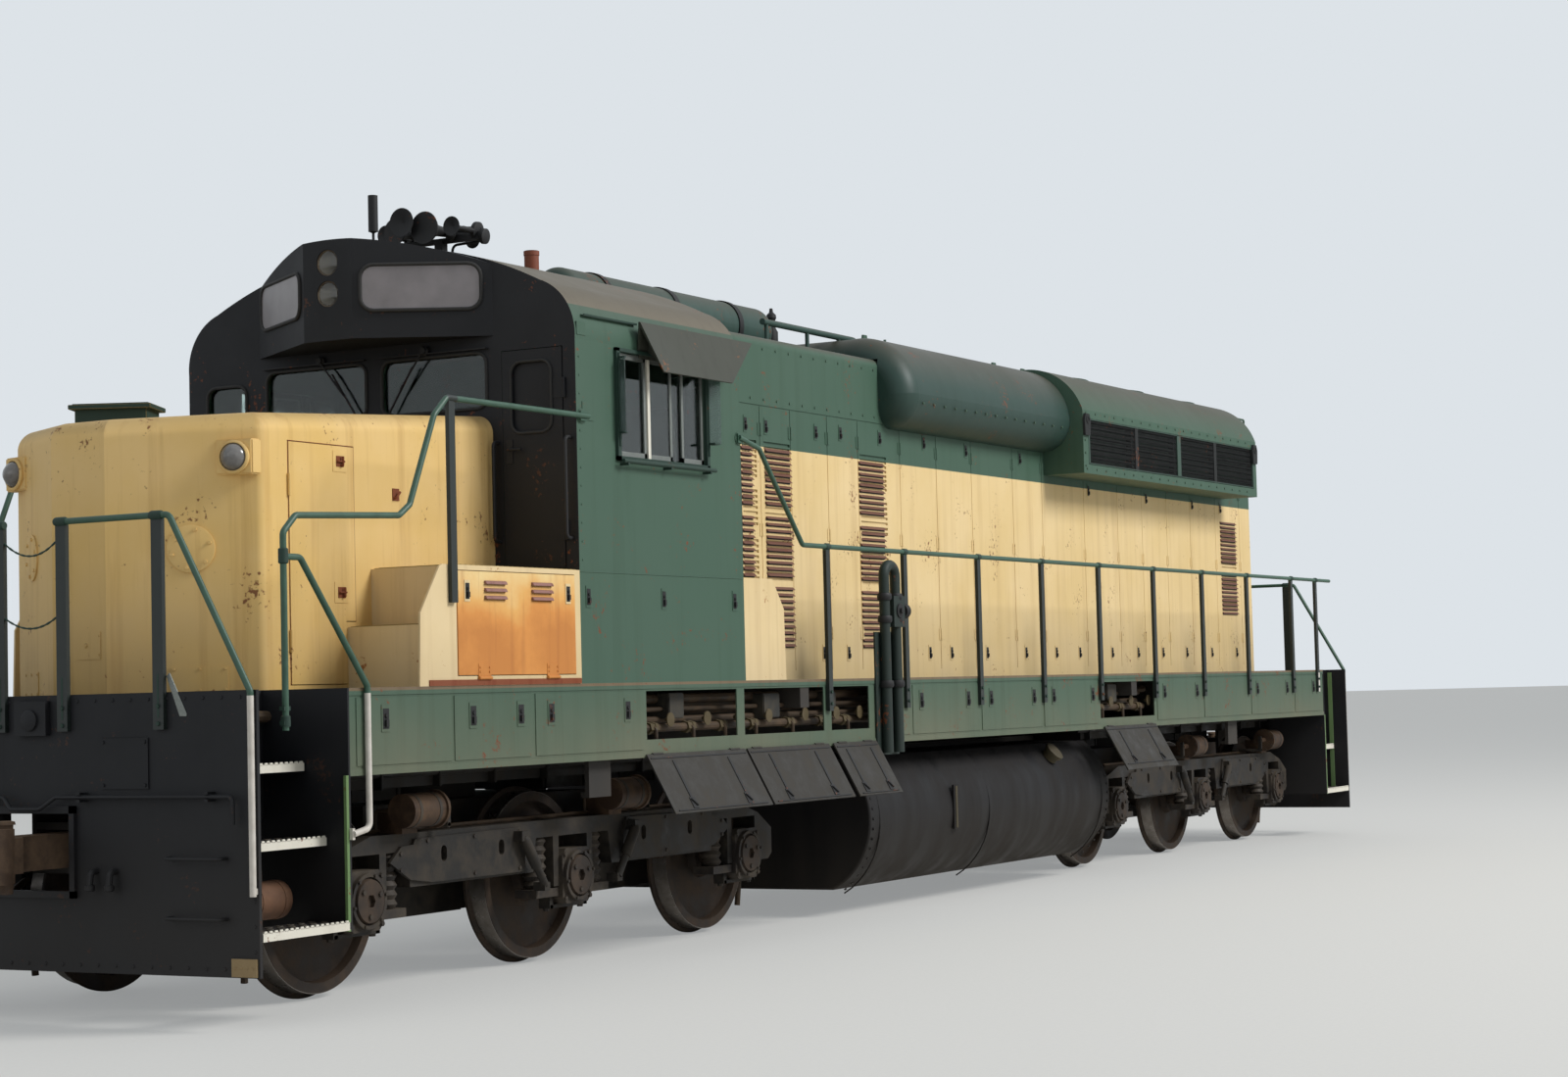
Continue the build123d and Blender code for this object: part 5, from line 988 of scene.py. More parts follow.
# flaps: ends, and the top of their ribs, lower at the rear bay
for n, (y0, y1, top) in enumerate(((-5.07, -3.868, 1.64), (-3.84, -2.722, 1.64), (-2.652, -2.01, 1.64),
                                   (2.16, 3.31, 1.606)), 1):
    coat(flap_steel, "sill_flap_%d" % n)
    bm = bmesh.new()
    for y in (y0 + 0.22 * (y1 - y0), y1 - 0.22 * (y1 - y0)):
        # the latch shows on the inside, which faces out and up when the flap hangs
        block(bm, (1.489, y - 0.03, top - 0.08), (1.484, y + 0.03, top - 0.005))
        tube(bm, bent([(1.489, y - 0.02, top - 0.065), (1.478, y - 0.02, top - 0.065),
                       (1.478, y + 0.02, top - 0.02)], 0.006), 0.006, 6)
        block(bm, (1.489, y - 0.012, 1.3), (1.4845, y + 0.012, top - 0.08))
        # outside: the handle's cup
        block(bm, (1.499, y - 0.026, 1.545), (1.503, y + 0.026, 1.65))
    block(bm, (1.489, y0 + 0.05, top), (1.483, y1 - 0.05, top + 0.007))
    block(bm, (1.489, y0 + 0.02, 1.275), (1.4845, y1 - 0.02, 1.283))
    piece("flap_fittings_%d" % n, bm, hardware_black, "sill_flap_%d" % n, place=turn)

# Deck and frame: rolled I-beams and plate welded together, black below with oil and dust. The
# walkway is green chequer plate under dirt.
# Its dirt lies in patches of 330 mm and takes all shine away.
frame_steel, tree, shader, place = finish_for("walkway_and_frame_steel")
dirt = add(tree, "TexNoise", {"Vector": place, "Scale": 3.0, "Detail": 6.0})
under = add(tree, "Mix", {0: dirt, 6: "#141312", 7: "#38322B"}, 2, data_type="RGBA")
above = add(tree, "Mix", {0: dirt, 6: "#4E5A4C", 7: "#6A604E"}, 2, data_type="RGBA")
walked = add(tree, "MapRange", {0: add(tree, "SeparateXYZ", {0: place}, 2), 1: 1.68, 2: 1.687})
# raised lozenges, 30 mm apart, on the deck only
lozenge = []
for slant in (math.radians(45), math.radians(-45)):
    slanted = add(tree, "Mapping", {"Vector": place, "Rotation": (0, 0, slant)})
    lozenge.append(add(tree, "TexWave", {"Vector": slanted, "Scale": 10.5}, "Fac", bands_direction="X"))
both = add(tree, "Math", {0: lozenge[0], 1: lozenge[1]}, operation="MULTIPLY")
raised = add(tree, "MapRange", {0: both, 1: 0.55, 2: 0.75})
deck_only = add(tree, "Math", {0: raised, 1: walked}, operation="MULTIPLY")
treads = add(tree, "Bump", {"Height": deck_only, "Strength": 0.7, "Distance": 0.002})
feed(shader, {"Base Color": add(tree, "Mix", {0: walked, 6: under, 7: above}, 2, data_type="RGBA"),
              "Roughness": 0.75, "Normal": treads})
coat(frame_steel, "underframe")
cast_steel = grimy_steel("cast_steel", "#211F1D", "#4F473D")
coat(cast_steel, "engine_block", "truck_frame_front", "truck_frame_rear", "traction_motors_front",
     "traction_motors_rear")
bm = bmesh.new()
# train pipes and cable troughs under the deck, with hangers
for x, z, r in ((0.62, 1.5, 0.024), (-0.62, 1.5, 0.024), (0.78, 1.58, 0.018), (-0.78, 1.58, 0.018),
                (0.95, 1.55, 0.03)):
    for y0, y1 in ((-8.6, -6.2), (-4.4, 4.4), (6.2, 8.6)):
        tube(bm, [(x, y0, z), (x, y1, z)], r, 8)
for side in (-1, 1):
    for y in (-7.9, -6.9, -4.0, -2.4, -0.6, 1.2, 2.6, 4.0, 6.9, 7.9):
        block(bm, (side * 0.585, y - 0.02, 1.47), (side * 0.82, y + 0.02, 1.655))
piece("train_pipes", bm, pipe_steel)

# Fuel tank: welded plate, black, with end seams, a gauge, a filler neck and drain plugs. It hangs
# from the frame between the trucks.
# Fuel has stained the paint in runs 200 mm wide, some glossy and some dull.
tank_black, tree, shader, place = finish_for("fuel_stained_tank_paint")
stretched = add(tree, "Mapping", {"Vector": place, "Scale": (5.0, 5.0, 0.8)})
stain = add(tree, "TexNoise", {"Vector": stretched, "Scale": 1.0, "Detail": 5.0})
splash = add(tree, "MapRange", {0: add(tree, "SeparateXYZ", {0: place}, 2), 1: 0.2, 2: 0.75, 3: 0.6, 4: 0.0})
tone = add(tree, "Mix", {0: stain, 6: "#141518", 7: "#2A2725"}, 2, data_type="RGBA")
muddy = add(tree, "Math", {0: splash, 1: stain}, operation="MULTIPLY")
dents = add(tree, "TexNoise", {"Vector": place, "Scale": 1.8, "Detail": 2.0})
feed(shader, {"Base Color": add(tree, "Mix", {0: muddy, 6: tone, 7: "#463F36"}, 2, data_type="RGBA"),
              "Roughness": add(tree, "MapRange", {0: stain, 1: 0.35, 2: 0.7, 3: 0.45, 4: 0.8}),
              "Specular IOR Level": 0.15,
              "Normal": add(tree, "Bump", {"Height": dents, "Strength": 0.5, "Distance": 0.01})})
coat(tank_black, "fuel_tank")
# its side is an arc through x, z (1.18, 1.13), (1.4, 0.69) and (1.08, 0.19)
arc_x, arc_z, arc_r = 0.8153, 0.6698, 0.5851
arc_top, arc_foot = math.atan2(1.13 - arc_z, 1.18 - arc_x), math.atan2(0.19 - arc_z, 1.08 - arc_x)
arc = []
for k in range(17):
    a = arc_top + (arc_foot - arc_top) * k / 16
    arc.append((arc_x + arc_r * math.cos(a), arc_z + arc_r * math.sin(a)))
bm, bm_brass = bmesh.new(), bmesh.new()
for side in (-1, 1):
    # weld beads round the barrel side, and lap straps with bolts near the ends
    for y in (-1.8, 0.05, 2.28):
        tube(bm, [(side * x, y, z) for x, z in arc], 0.006, 6)
    for y in (-1.9, 2.4):
        for x, z in arc[1:-1]:
            bolt(bm, (side * x, y, z), (side * (x - arc_x), 0, z - arc_z), 0.011, 0.007, 0.01, sunk=-0.002)
    # filler neck, and fuel gauge in its guard
    block(bm, (side * 1.395, -0.6, 0.55), (side * 1.412, -0.52, 0.88))
    turned(bm_brass, (side * 1.29, 1.45, 1.02), (side * 0.75, 0, 0.65),
           [(0, 0.07), (0.05, 0.07), (0.052, 0.085), (0.08, 0.085), (0.088, 0.06)], 20)
    block(bm_brass, (side * 1.412, -0.575, 0.56), (side * 1.416, -0.545, 0.87))
for y in (-1.2, 0.4, 1.9):
    turned(bm, (0.5, y, 0.192), (0, 0, -1), [(0, 0.05), (0.02, 0.05), (0.024, 0.03), (0.04, 0.03)], 6)
piece("tank_seams", bm, tank_black)
piece("tank_filler_and_gauge", bm_brass, grimy_steel("dull_brass", "#453E2B", "#463F36"))

# Fuel filler post: galvanised pipes beside the left sill, under sooty green paint, with collars
# and a cast valve screwed on.
coat(enamel("sooty_green_enamel", "#1C2823", dust="#3F4138", wear=0.4), "fuel_filler")
bm = bmesh.new()
for y in (-1.893, -1.722):
    for z in (1.62, 2.08, 2.24):
        turned(bm, (1.53, y, z), (0, 0, 1), [(0, 0.046), (0.012, 0.052), (0.038, 0.052), (0.05, 0.046)], 20)
turned(bm, (1.572, -1.745, 2.165), (1, 0, 0),
       [(0, 0.05), (0.012, 0.05), (0.014, 0.02), (0.03, 0.02), (0.032, 0.0)], 20)
turned(bm, (1.53, -1.7, 2.165), (0, 1, 0), [(0.07, 0.05), (0.1, 0.055), (0.12, 0.055), (0.122, 0.03)], 20)
piece("filler_valve", bm, hardware_black)


# Handrails: bent steel tube on flat posts. The tube is green, the posts black, and the lower
# grips beside the steps are white.
def railing(name, white_y, white_x, post_y=None):
    """Green tube, white below the deck where |y| and x are beyond the limits, dark posts behind post_y."""
    material, tree, shader, place = finish_for(name)
    parts = add(tree, "SeparateXYZ", {0: place}).node.outputs

    def test(operation, *values):
        """A mask of zero and one, or a sum of masks."""
        return add(tree, "Math", dict(enumerate(values)), operation=operation)

    away = [add(tree, "Math", {0: parts[k]}, operation="ABSOLUTE") for k in (0, 1)]
    grip = test("LESS_THAN", parts[2], 1.66)
    for other in (test("GREATER_THAN", away[1], white_y[0]), test("LESS_THAN", away[1], white_y[1]),
                  test("GREATER_THAN", away[0], white_x)):
        grip = test("MULTIPLY", grip, other)
    # without post_y the flat posts are those within 0.905 m of the middle
    behind = test("LESS_THAN", away[0], 0.905) if post_y is None else test("GREATER_THAN", parts[1], post_y)
    post = test("MULTIPLY", test("LESS_THAN", parts[2], 2.57), behind)
    if post_y is not None:
        # the post beside the nose, up to the rail
        post = test("MAXIMUM", post, test("COMPARE", parts[1], -7.04, 0.045))
    # hands have worn the enamel in patches of 70 mm, smoother than the rest
    wear = add(tree, "TexNoise", {"Vector": place, "Scale": 14.0, "Detail": 4.0})
    tone = add(tree, "Mix", {0: wear, 6: "#20402F", 7: "#3E5F4E"}, 2, data_type="RGBA")
    white = add(tree, "Mix", {0: wear, 6: "#E4DFD6", 7: "#A9A196"}, 2, data_type="RGBA")
    for mask, over in ((post, "#18201D"), (grip, white)):
        tone = add(tree, "Mix", {0: mask, 6: tone, 7: over}, 2, data_type="RGBA")
    feed(shader, {"Base Color": tone, "Roughness": add(tree, "MapRange", {0: wear, 3: 0.35, 4: 0.6})})
    return material


coat(railing("worn_handrail_enamel", (7.75, 8.45), 1.3, post_y=-3.05), "handrail_left", "handrail_right")
coat(railing("worn_end_rail_enamel", (8.6, 9.0), 1.3), "end_rails")
rail_x = 1.504
bm = bmesh.new()
for side in (-1, 1):
    for y in (-2.687, -1.504, -0.252, 0.941, 2.115, 3.347, 4.54, 5.733, 7.013, 7.76):
        # cast cap round the tube, and two bolts through the foot
        turned(bm, (side * rail_x, y - 0.03, 2.596), (0, 1, 0),
               [(0, 0.02), (0.01, 0.024), (0.05, 0.024), (0.06, 0.02)], 14)
        for z in (1.52, 1.6):
            bolt(bm, (side * 1.51, y, z), (side, 0, 0), 0.013, 0.01, 0.011, sunk=-0.002)
    # sleeves where the side rails join
    turned(bm, (side * rail_x, -8.5, 2.32), (0, 0, 1),
           [(0, 0.02), (0.006, 0.026), (0.074, 0.026), (0.08, 0.02)], 14)
    turned(bm, (side * rail_x, -8.5, 1.5), (0, 0, 1), [(0, 0.024), (0.05, 0.024), (0.056, 0.018)], 14)
    for z in (1.508, 1.58):
        block(bm, (side * 1.485, -8.525, z), (side * 1.5155, -8.475, z + 0.022))
piece("rail_fittings", bm, window_green)
bm = bmesh.new()
for end in (-1, 1):
    for x in (-0.868, -0.218, 0.218, 0.868):
        turned(bm, (x - 0.04, end * 8.721, 2.59), (1, 0, 0),
               [(0, 0.02), (0.01, 0.024), (0.07, 0.024), (0.08, 0.02)], 14)
        # gusset at the post's foot
        prism(bm, [(end * 8.702, 1.56), (end * 8.728, 1.56), (end * 8.728, 1.78)], 0, x - 0.006, x + 0.006)
        for z in (1.53, 1.62):
            bolt(bm, (x, end * 8.727, z), (0, end, 0), 0.013, 0.008, 0.011, sunk=-0.002)
    # safety chains across the gap between the two middle posts
    for z0, sag in ((2.52, 0.1), (2.12, 0.08)):
        hung = [(-0.215 + 0.43 * k / 20, end * 8.716,
                 z0 - 4 * sag * (k / 20) * (1 - k / 20)) for k in range(21)]
        for k in range(20):
            tube(bm, hung[k:k + 2], 0.006 if k % 2 else 0.0045, 6)
piece("end_rail_fittings", bm, window_green)
bm = bmesh.new()
for side in (-1, 1):
    # weathered aluminium gusset behind the front corner posts
    prism(bm, [(side * x, z) for x, z in ((0.905, 1.77), (0.925, 1.785), (1.035, 1.58), (1.035, 1.565),
                                          (0.99, 1.565))], 1, -8.704, -8.698)
piece("corner_gussets", bm, alloy)

# End sheets and corner steps: heavy plate, black with road grime; steps of punched plate whose
# toothed edges are white.
sheet_black = enamel("road_grimed_black_enamel", "#101115", dust="#2E2A26", dust_top=1.2, wear=0.5,
                     rust="#3A2419")
coat(sheet_black, "front_end", "rear_end")
bm_white, bm_tread, bm_green = bmesh.new(), bmesh.new(), bmesh.new()
for end in (-1, 1):
    y0, y1 = end * 7.985, end * 8.675
    for side in (-1, 1):
        for z, x in ((0.476, 1.484), (0.913, 1.34), (1.301, 1.2)):
            # white nosing with teeth along its top
            block(bm_white, (side * (x - 0.006), y0, z - 0.04), (side * (x + 0.0015), y1, z + 0.002))
            for k in range(17):
                y = y0 + (y1 - y0) * (k + 0.5) / 17
                prism(bm_white, [(y - 0.015, z), (y + 0.015, z), (y + 0.009, z + 0.012),
                                 (y - 0.009, z + 0.012)], 0, side * (x - 0.006), side * (x + 0.0015))
            # rows of round grip holes with raised rims
            for i in range(8):
                for j in range(3):
                    turned(bm_tread, (side * (x - 0.055 - 0.08 * j), y0 + (y1 - y0) * (i + 0.5) / 8, z),
                           (0, 0, 1), [(0, 0.022), (0.005, 0.019), (0.005, 0.013), (0.001, 0.012)], 12)
        # green uprights between the treads at the outer edges
        block(bm_green, (side * 1.466, end * 7.961, 0.43), (side * 1.4835, end * 7.995, 1.235))
        block(bm_green, (side * 1.3, end * 8.672, 0.44), (side * 1.34, end * 8.681, 1.66))
piece("step_edges", bm_white, chalk_white)
piece("step_grips", bm_tread, grimy_steel("scuffed_step_steel", "#2B2927", "#6B604F", oil=0.2))
piece("step_uprights", bm_green, enamel("lime_green_enamel", "#64804F", wear=0.7))
bm, bm_lever = bmesh.new(), bmesh.new()
for end in (-1, 1):
    face = end * 8.701
    # frame round the coupler opening and buff stops beside it
    for x0, z0, x1, z1 in ((-0.285, 1.076, 0.285, 1.115), (-0.285, 0.64, 0.285, 0.676),
                           (-0.285, 0.64, -0.25, 1.115), (0.25, 0.64, 0.285, 1.115)):
        block(bm, (x0, face, z0), (x1, face + end * 0.022, z1))
    # receptacle box and blank cover plates with bolts
    block(bm, (-0.11, face, 1.48), (0.11, face + end * 0.035, 1.66))
    turned(bm, (0, face + end * 0.035, 1.56), (0, end, 0), [(0, 0.055), (0.012, 0.055), (0.016, 0.048)], 20)
    for x in (-0.62, 0.62):
        block(bm, (x - 0.16, face, 1.2), (x + 0.16, face + end * 0.008, 1.46))
        for dx in (-0.14, 0.14):
            for z in (1.22, 1.44):
                bolt(bm, (x + dx, face + end * 0.008, z), (0, end, 0), 0.01, 0.006, 0.009)
    # rivet rows along the sheet's edges
    rivets = [(-1.38 + 0.12 * k, z) for k in range(24) for z in (0.3, 1.655)]
    rivets += [(x, 0.39 + 0.125 * k) for k in range(10) for x in (-1.455, 1.455)]
    for x, z in rivets:
        bolt(bm, (x, face, z), (0, end, 0), 0.011, 0.005, 0.008, 8)
    # pipe stubs with angle cocks beside the coupler
    for x in (-0.42, -0.55, 0.42, 0.55):
        tube(bm, bent([(x, face - end * 0.05, 0.78), (x, face + end * 0.045, 0.78),
                       (x, face + end * 0.055, 0.7)], 0.03), 0.017)
        turned(bm, (x, face + end * 0.052, 0.715), (0, 0, -1),
               [(0, 0.02), (0.005, 0.026), (0.03, 0.026), (0.035, 0.02)], 12)
    # uncoupling lever: a bent rod across the sheet in four brackets
    y = end * 8.745
    tube(bm_lever, bent([(-1.36, y, 1.02), (-1.36, y, 1.16), (-0.18, y, 1.16), (-0.1, y + end * 0.03, 1.1),
                         (0.1, y + end * 0.03, 1.1), (0.18, y, 1.16), (1.36, y, 1.16), (1.36, y, 1.02)],
                        0.03), 0.011, 8)
    for x in (-1.2, -0.35, 0.35, 1.2):
        for z in (1.135, 1.172):
            block(bm_lever, (x - 0.012, end * 8.7, z), (x + 0.012, end * 8.76, z + 0.013))
    # grab irons low on the sheet
    for x0, x1 in ((-1.28, -0.92), (0.92, 1.28)):
        for z in (0.55, 0.85):
            staple(bm_lever, (x0, end * 8.7, z), (x1, end * 8.7, z), (0, end * 0.06, 0), 0.01, 8)
piece("end_sheet_fittings", bm, sheet_black)
piece("uncoupling_levers", bm_lever, sheet_black)
bm = bmesh.new()
for side in (-1, 1):
    block(bm, (side * 1.31, -8.712, 0.265), (side * 1.47, -8.7, 0.355))
    for k in range(4):
        bolt(bm, (side * (1.335 + 0.037 * k), -8.712, 0.31), (0, -1, 0), 0.008, 0.003, 0.006, 8)
piece("pilot_wear_plates", bm, grimy_steel("tan_worn_plate", "#8F7A58", "#A08D6C", oil=0.1))

# Drums behind the steps: small air reservoirs of rusty rolled steel, hung in straps under the
# platform's corners.
# Rust stands off the steel in dark and light flakes of 80 mm.
drum_rust = mottled("flaking_rusty_steel", 12.0, 7.0, ("#3C2A22", "#8A6347"), 0.85, grain=0.7,
                    lumps=(0.6, 0.003))
bm = bmesh.new()
for end in (-1, 1):
    for side in (-1, 1):
        turned(bm, (side * 1.09, end * 8.05, 0.6), (0, end, 0),
               [(0, 0.0), (0.01, 0.06), (0.03, 0.1), (0.3, 0.1), (0.32, 0.06), (0.33, 0.0)], 28)
        for y in (8.12, 8.3):
            block(bm, (side * 0.98, end * (y - 0.015), 0.6), (side * 0.992, end * (y + 0.015), 1.1))
            bolt(bm, (side * 1.09, end * (y - 0.015), 0.6), (0, end, 0), 0.103, 0.03, 0.103, 28)
        block(bm, (side * 0.912, end * 8.1, 1.06), (side * 0.99, end * 8.32, 1.075))
piece("step_drums", bm, drum_rust)

# Rear of the long hood: a sheet door on two hinges, blank number boards, a pair of sealed lamps,
# grab irons and round sand covers, all enamelled with the hood. It follows common practice.
rear = 7.605
bm = bmesh.new()
block(bm, (-0.3, rear, 1.8), (0.3, rear + 0.006, 3.4))
for z in (2.1, 3.1):
    block(bm, (0.29, rear, z - 0.05), (0.335, rear + 0.01, z + 0.05))
block(bm, (-0.13, rear, 3.62), (0.13, rear + 0.05, 4.08))
for side in (-1, 1):
    turned(bm, (side * 0.6, rear, 3.3), (0, 1, 0), [(0, 0.11), (0.012, 0.11), (0.016, 0.1)], 24)
    for z in (2.1, 2.45, 2.8):
        staple(bm, (side * 0.46, rear, z), (side * 0.8, rear, z), (0, 0.06, 0), sides=8)
piece("hood_rear_fittings", bm, hood_paint, edge=0.003)
for n, z in ((1, 3.96), (2, 3.76)):
    sealed_beam("rear_light_%d" % n, (0, rear + 0.056, z), 1, 0.085)
for side, tag in ((-1, "right"), (1, "left")):
    bm = bmesh.new()
    prism(bm, rounded((side * 0.5, 3.86), (0.56, 0.2), 0.05), 1, rear, rear + 0.012)
    piece("rear_board_" + tag, bm, board_white)
    gasket("rear_board_frame_" + tag, rear + 0.01, [((side * 0.5, 3.86), (0.57, 0.21), 0.055)], 0.01)

# Blower ducts and cable trays over the trucks: folded steel with riveted straps, black with oil
# mist, fixed under the deck.
truck_y, axle_pitch, axle_z = 5.335, 2.07, 0.536
bm = bmesh.new()
for end in (-1, 1):
    yc = end * truck_y
    for side in (-1, 1):
        block(bm, (side * 0.46, yc - 2.3, 1.125), (side * 0.9, yc + 2.3, 1.29))
        for k in range(9):
            y = yc - 2.2 + 0.55 * k
            block(bm, (side * 0.46, y - 0.012, 1.118), (side * 0.95, y + 0.012, 1.292))
        for x, z, r, n in ((0.925, 1.205, 0.022, 10), (0.92, 1.26, 0.014, 8)):
            tube(bm, [(side * x, yc - 2.45, z), (side * x, yc + 2.45, z)], r, n)
    # air ducts to the motors, either side of the truck's centre
    for y in (yc - 1.45, yc + 1.45):
        block(bm, (-0.4, y - 0.7, 1.03), (0.4, y + 0.7, 1.14))
        for k in range(4):
            block(bm, (-0.41, y - 0.67 + 0.44 * k, 1.025), (0.41, y - 0.65 + 0.44 * k, 1.14))
piece("blower_ducts", bm, grimy_steel("oil_misted_duct_steel", "#1A1918", "#38322B", oil=0.6),
      edge=0.004)

# Trucks: cast steel frames with journal boxes on coil springs, dampers, brake cylinders, rods
# and sand pipes. All of it is brown-black with oil and dust.
spring_steel = grimy_steel("dusty_spring_steel", "#2A2624", "#5E5446", oil=0.3)
coat(spring_steel, "journal_boxes_front", "journal_boxes_rear")
coat(grimy_steel("rusty_cylinder_steel", "#37291F", "#6E5743", oil=0.1), "brake_gear_front",
     "brake_gear_rear")
for end, tag in ((-1, "front"), (1, "rear")):
    yc = end * truck_y
    bm_bolt, bm_gear, bm_pipe, bm = (bmesh.new() for _ in range(4))
    for side in (-1, 1):
        way = (side, 0, 0)
        for k in (-1, 0, 1):
            y = yc + k * axle_pitch
            # bolts round the cover, and on the box's corners
            for u, v in circle(0.1415, 6, 0.2):
                bolt(bm_bolt, (side * 1.17, y + u, axle_z + v), way, 0.0105, 0.012, 0.0095)
            for dy in (-0.132, 0.132):
                for z in (0.405, 0.667):
                    bolt(bm_bolt, (side * 1.144, y + dy, z), way, 0.016, 0.014, 0.014)
            # pedestal tie bar under the box, bolted to both legs
            block(bm_gear, (side * 1.0, y - 0.2, 0.345), (side * 1.08, y + 0.2, 0.368))
            for dy in (-0.185, 0.185):
                block(bm_gear, (side * 1.0, y + dy - 0.02, 0.345), (side * 1.08, y + dy + 0.02, 0.482))
                bolt(bm_bolt, (side * 1.04, y + dy, 0.345), (0, 0, -1), 0.02, 0.016, 0.018)
        for a in (-1, 1):
            # slanted damper with its two ends, outside the cover plate
            top, foot = Vector((side * 1.185, yc + a * 0.62, 0.8)), Vector((side * 1.185, yc + a * 0.4, 0.5))
            long = (foot - top).length
            turned(bm_gear, top, foot - top,
                   [(0, 0.02), (0.03, 0.034), (long * 0.6, 0.034), (long * 0.6, 0.024), (long, 0.024)], 16)
            for y, half, z0, z1 in ((0.62, 0.035, 0.775, 0.835), (0.4, 0.03, 0.47, 0.52)):
                block(bm_gear, (side * 1.118, yc + a * y - half, z0), (side * 1.2, yc + a * y + half, z1))
            # bolts of the cover plate
            for y, z in ((0.6, 0.62), (0.6, 0.83), (1.05, 0.62), (1.05, 0.83), (1.5, 0.83), (1.75, 0.77),
                         (1.75, 0.68)):
                bolt(bm_bolt, (side * 1.139, yc + a * y, z), way, 0.014, 0.01, 0.012)
        # brake pipe along the top of the frame, with branches to the cylinders
        tube(bm_pipe, [(side * 1.0, yc - 2.05, 0.893), (side * 1.0, yc + 2.05, 0.893)], 0.013, 8)
        for middle in (yc + end * 1.69, yc - end * 0.42):
            y = middle + end * 0.1
            tube(bm_pipe, bent([(side * 1.0, y, 0.893), (side * 1.0, y, 1.01), (side * 1.12, y, 1.01)],
                               0.03), 0.01, 8)
            # straps and head bolts of the brake cylinder
            for dy in (-0.09, 0.09):
                bolt(bm_bolt, (side * 1.22, middle + dy - 0.012, 1.01), (0, 1, 0), 0.0975, 0.024, 0.0975, 28)
            for u, v in circle(0.095, 8, 0.2):
                bolt(bm_bolt, (side * (1.22 + u), middle - end * 0.158, 1.01 + v), (0, -end, 0), 0.009,
                     0.01, 0.008)
            # lever and rod from the piston down towards the shoes
            y = middle - end * 0.27
            block(bm_gear, (side * 1.205, y - 0.015, 0.905), (side * 1.235, y + 0.015, 1.05))
            tube(bm_gear, [(side * 1.0, y, 0.915), (side * 1.235, y, 0.915)], 0.016, 8)
        # sand pipes ahead of the outer wheels, on brackets from the frame's ends
        for out in (-1, 1):
            y = yc + out * 2.45
            tube(bm_pipe, bent([(side * 0.97, y - out * 0.02, 0.66), (side * 0.97, y + out * 0.1, 0.6),
                                (side * 0.76, y + out * 0.175, 0.4), (side * 0.745, y + out * 0.16, 0.14)],
                               0.08), 0.02)
            block(bm_gear, (side * 0.957, y - 0.03 - out * 0.03, 0.6),
                  (side * 1.0, y + 0.03 - out * 0.03, 0.7))
    # traction motors: cooling ribs, an inspection cover with bolts and cable sleeves
    for k, toward in ((-1, 1), (0, end), (1, -1)):
        y = yc + k * axle_pitch
        for x in (-0.36, -0.24, -0.12, 0.12, 0.24, 0.36):
            block(bm, (x - 0.01, y + toward * 0.125, 0.325), (x + 0.01, y + toward * 0.88, 0.342))
        block(bm, (-0.2, y + toward * 0.3, 0.778), (0.2, y + toward * 0.7, 0.792))
        for x in (-0.18, 0.18):
            for dy in (0.33, 0.67):
                bolt(bm, (x, y + toward * dy, 0.79), (0, 0, 1), 0.014, 0.01, 0.012)
        for x in (0.28, 0.34, 0.4):
            tube(bm, bent([(x, y + toward * 0.6, 0.77), (x, y + toward * 0.6, 0.82),
                           (x + 0.03, y + toward * 0.83, 0.83)], 0.05), 0.019, 8)
    for part, mesh, material, edge in (("truck_bolts_", bm_bolt, spring_steel, 0),
                                       ("truck_gear_", bm_gear, cast_steel, 0.002),
                                       ("truck_pipes_", bm_pipe, pipe_steel, 0),
                                       ("motor_fittings_", bm, cast_steel, 0)):
        piece(part + tag, mesh, material, "truck_" + tag, edge=edge)

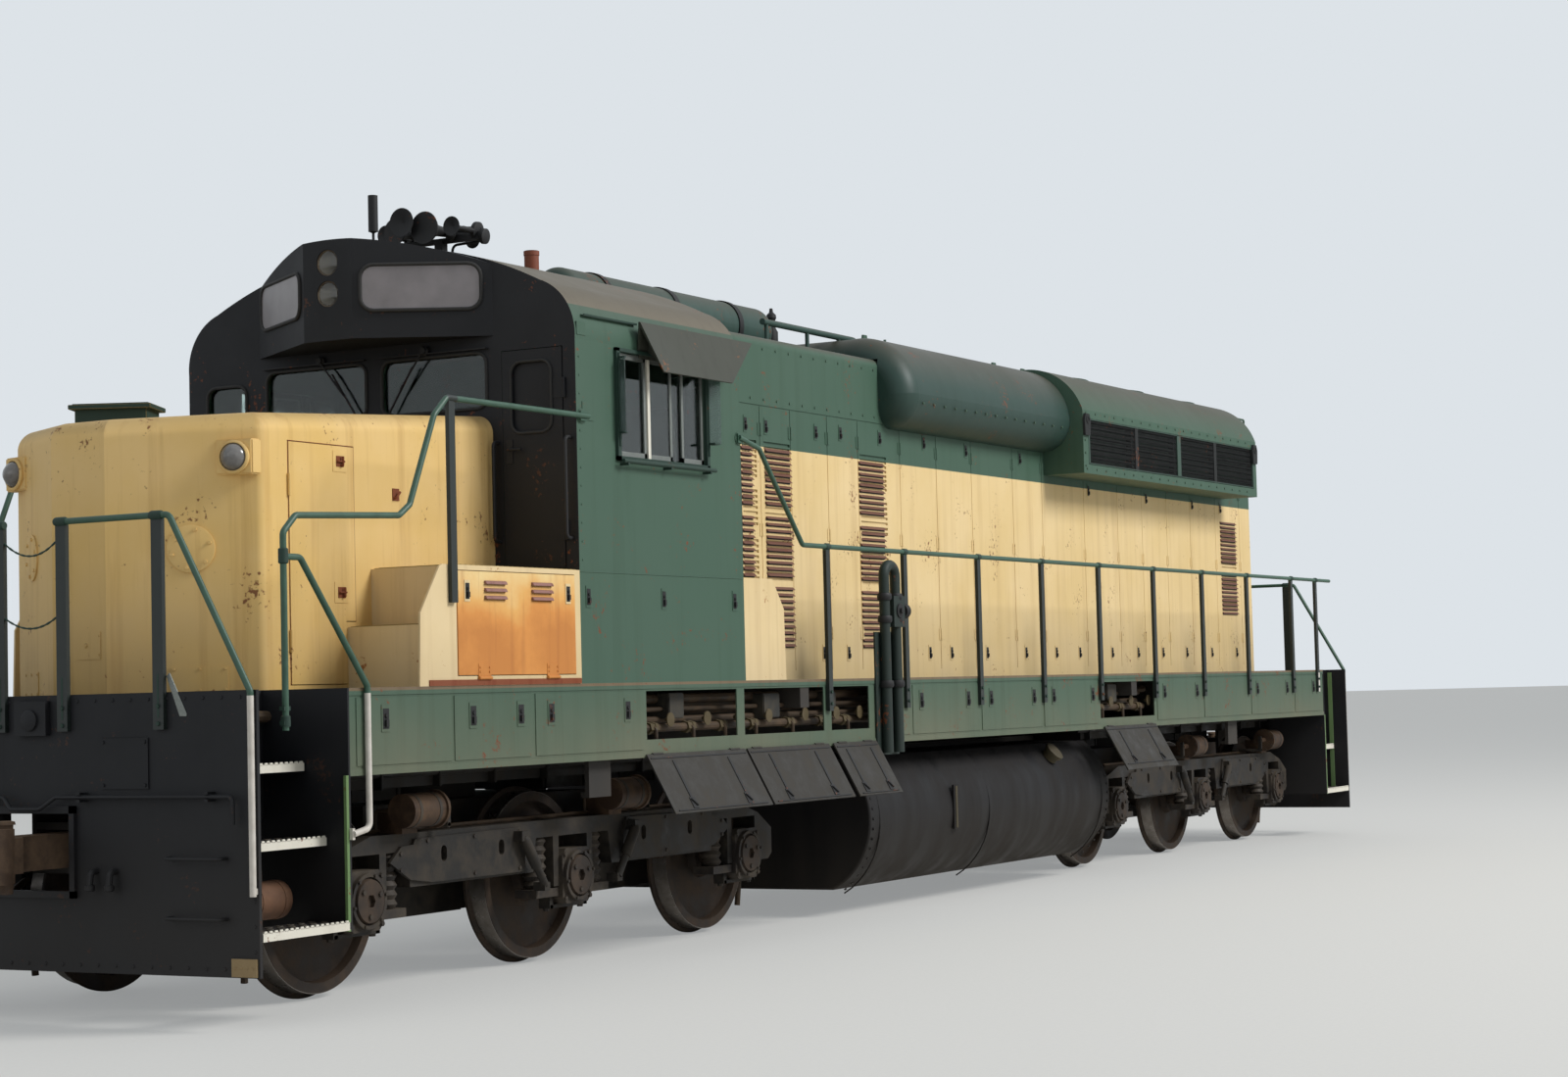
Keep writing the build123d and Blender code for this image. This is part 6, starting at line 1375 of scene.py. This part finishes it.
# Wheelsets: forged steel, brown with brake dust, the treads rubbed bright by the rails. Three
# bolts hold the cap on each end of an axle.
wheel_brown = grimy_steel("brake_dusted_wheel_steel", "#2C2520", "#58483A", oil=0.2)
# steel that the rails polish: bright metal with a faint mottle of 55 mm
tread_bright = mottled("rail_polished_steel", 18.0, 3.0, ("#9C9894", "#6E655C"), (0.2, 0.4),
                       {"Metallic": 0.9})
for end, tag in ((-1, "front"), (1, "rear")):
    for k in (1, 2, 3):
        node = "wheelset_%s_%d" % (tag, k)
        coat(wheel_brown, node)
        y = end * truck_y + (k - 2) * axle_pitch
        bm, bm_cap = bmesh.new(), bmesh.new()
        for side in (-1, 1):
            turned(bm, (side * 0.7125, y, axle_z), (side, 0, 0),
                   [(0, 0.5), (0, 0.5086), (0.102, 0.506), (0.102, 0.5), (0, 0.5)], 96, hollow=True)
            for u, v in circle(0.085, 3, 0.4):
                bolt(bm_cap, (side * 1.1805, y + u, axle_z + v), (side, 0, 0), 0.017, 0.01, 0.015,
                     sunk=-0.006)
        piece(node + "_treads", bm, tread_bright, node)
        piece(node + "_cap_bolts", bm_cap, spring_steel, node)

# Couplers: cast steel, bare and rusty, the knuckles' faces rubbed. The knuckle turns on a pin, and
# a shackle hangs in the lift eye on the head.
# The rough casting is brown, without paint.
coupler_steel = grimy_steel("rubbed_rusty_casting", "#4A3B30", "#7D6650", oil=0.2)
coat(coupler_steel, "coupler_front", "coupler_rear")
for end, tag in ((-1, "front"), (1, "rear")):
    bm = bmesh.new()
    pin = (end * -0.14, end * 9.06)
    turned(bm, (*pin, 1.036), (0, 0, 1), [(0, 0.052), (0.016, 0.048), (0.02, 0.03)], 16)
    turned(bm, (*pin, 0.716), (0, 0, -1), [(0, 0.036), (0.03, 0.036), (0.034, 0.02)], 12)
    # lift eye and its shackle on the head's top
    bolt(bm, (0, end * 9.02, 0.966), (0, 0, 1), 0.04, 0.02, 0.036, 12)
    tube(bm, [(x, end * 9.02, 1.005 + z) for x, z in circle(0.028, 16)], 0.007, 6, closed=True)
    piece("coupler_fittings_" + tag, bm, coupler_steel, "coupler_" + tag)
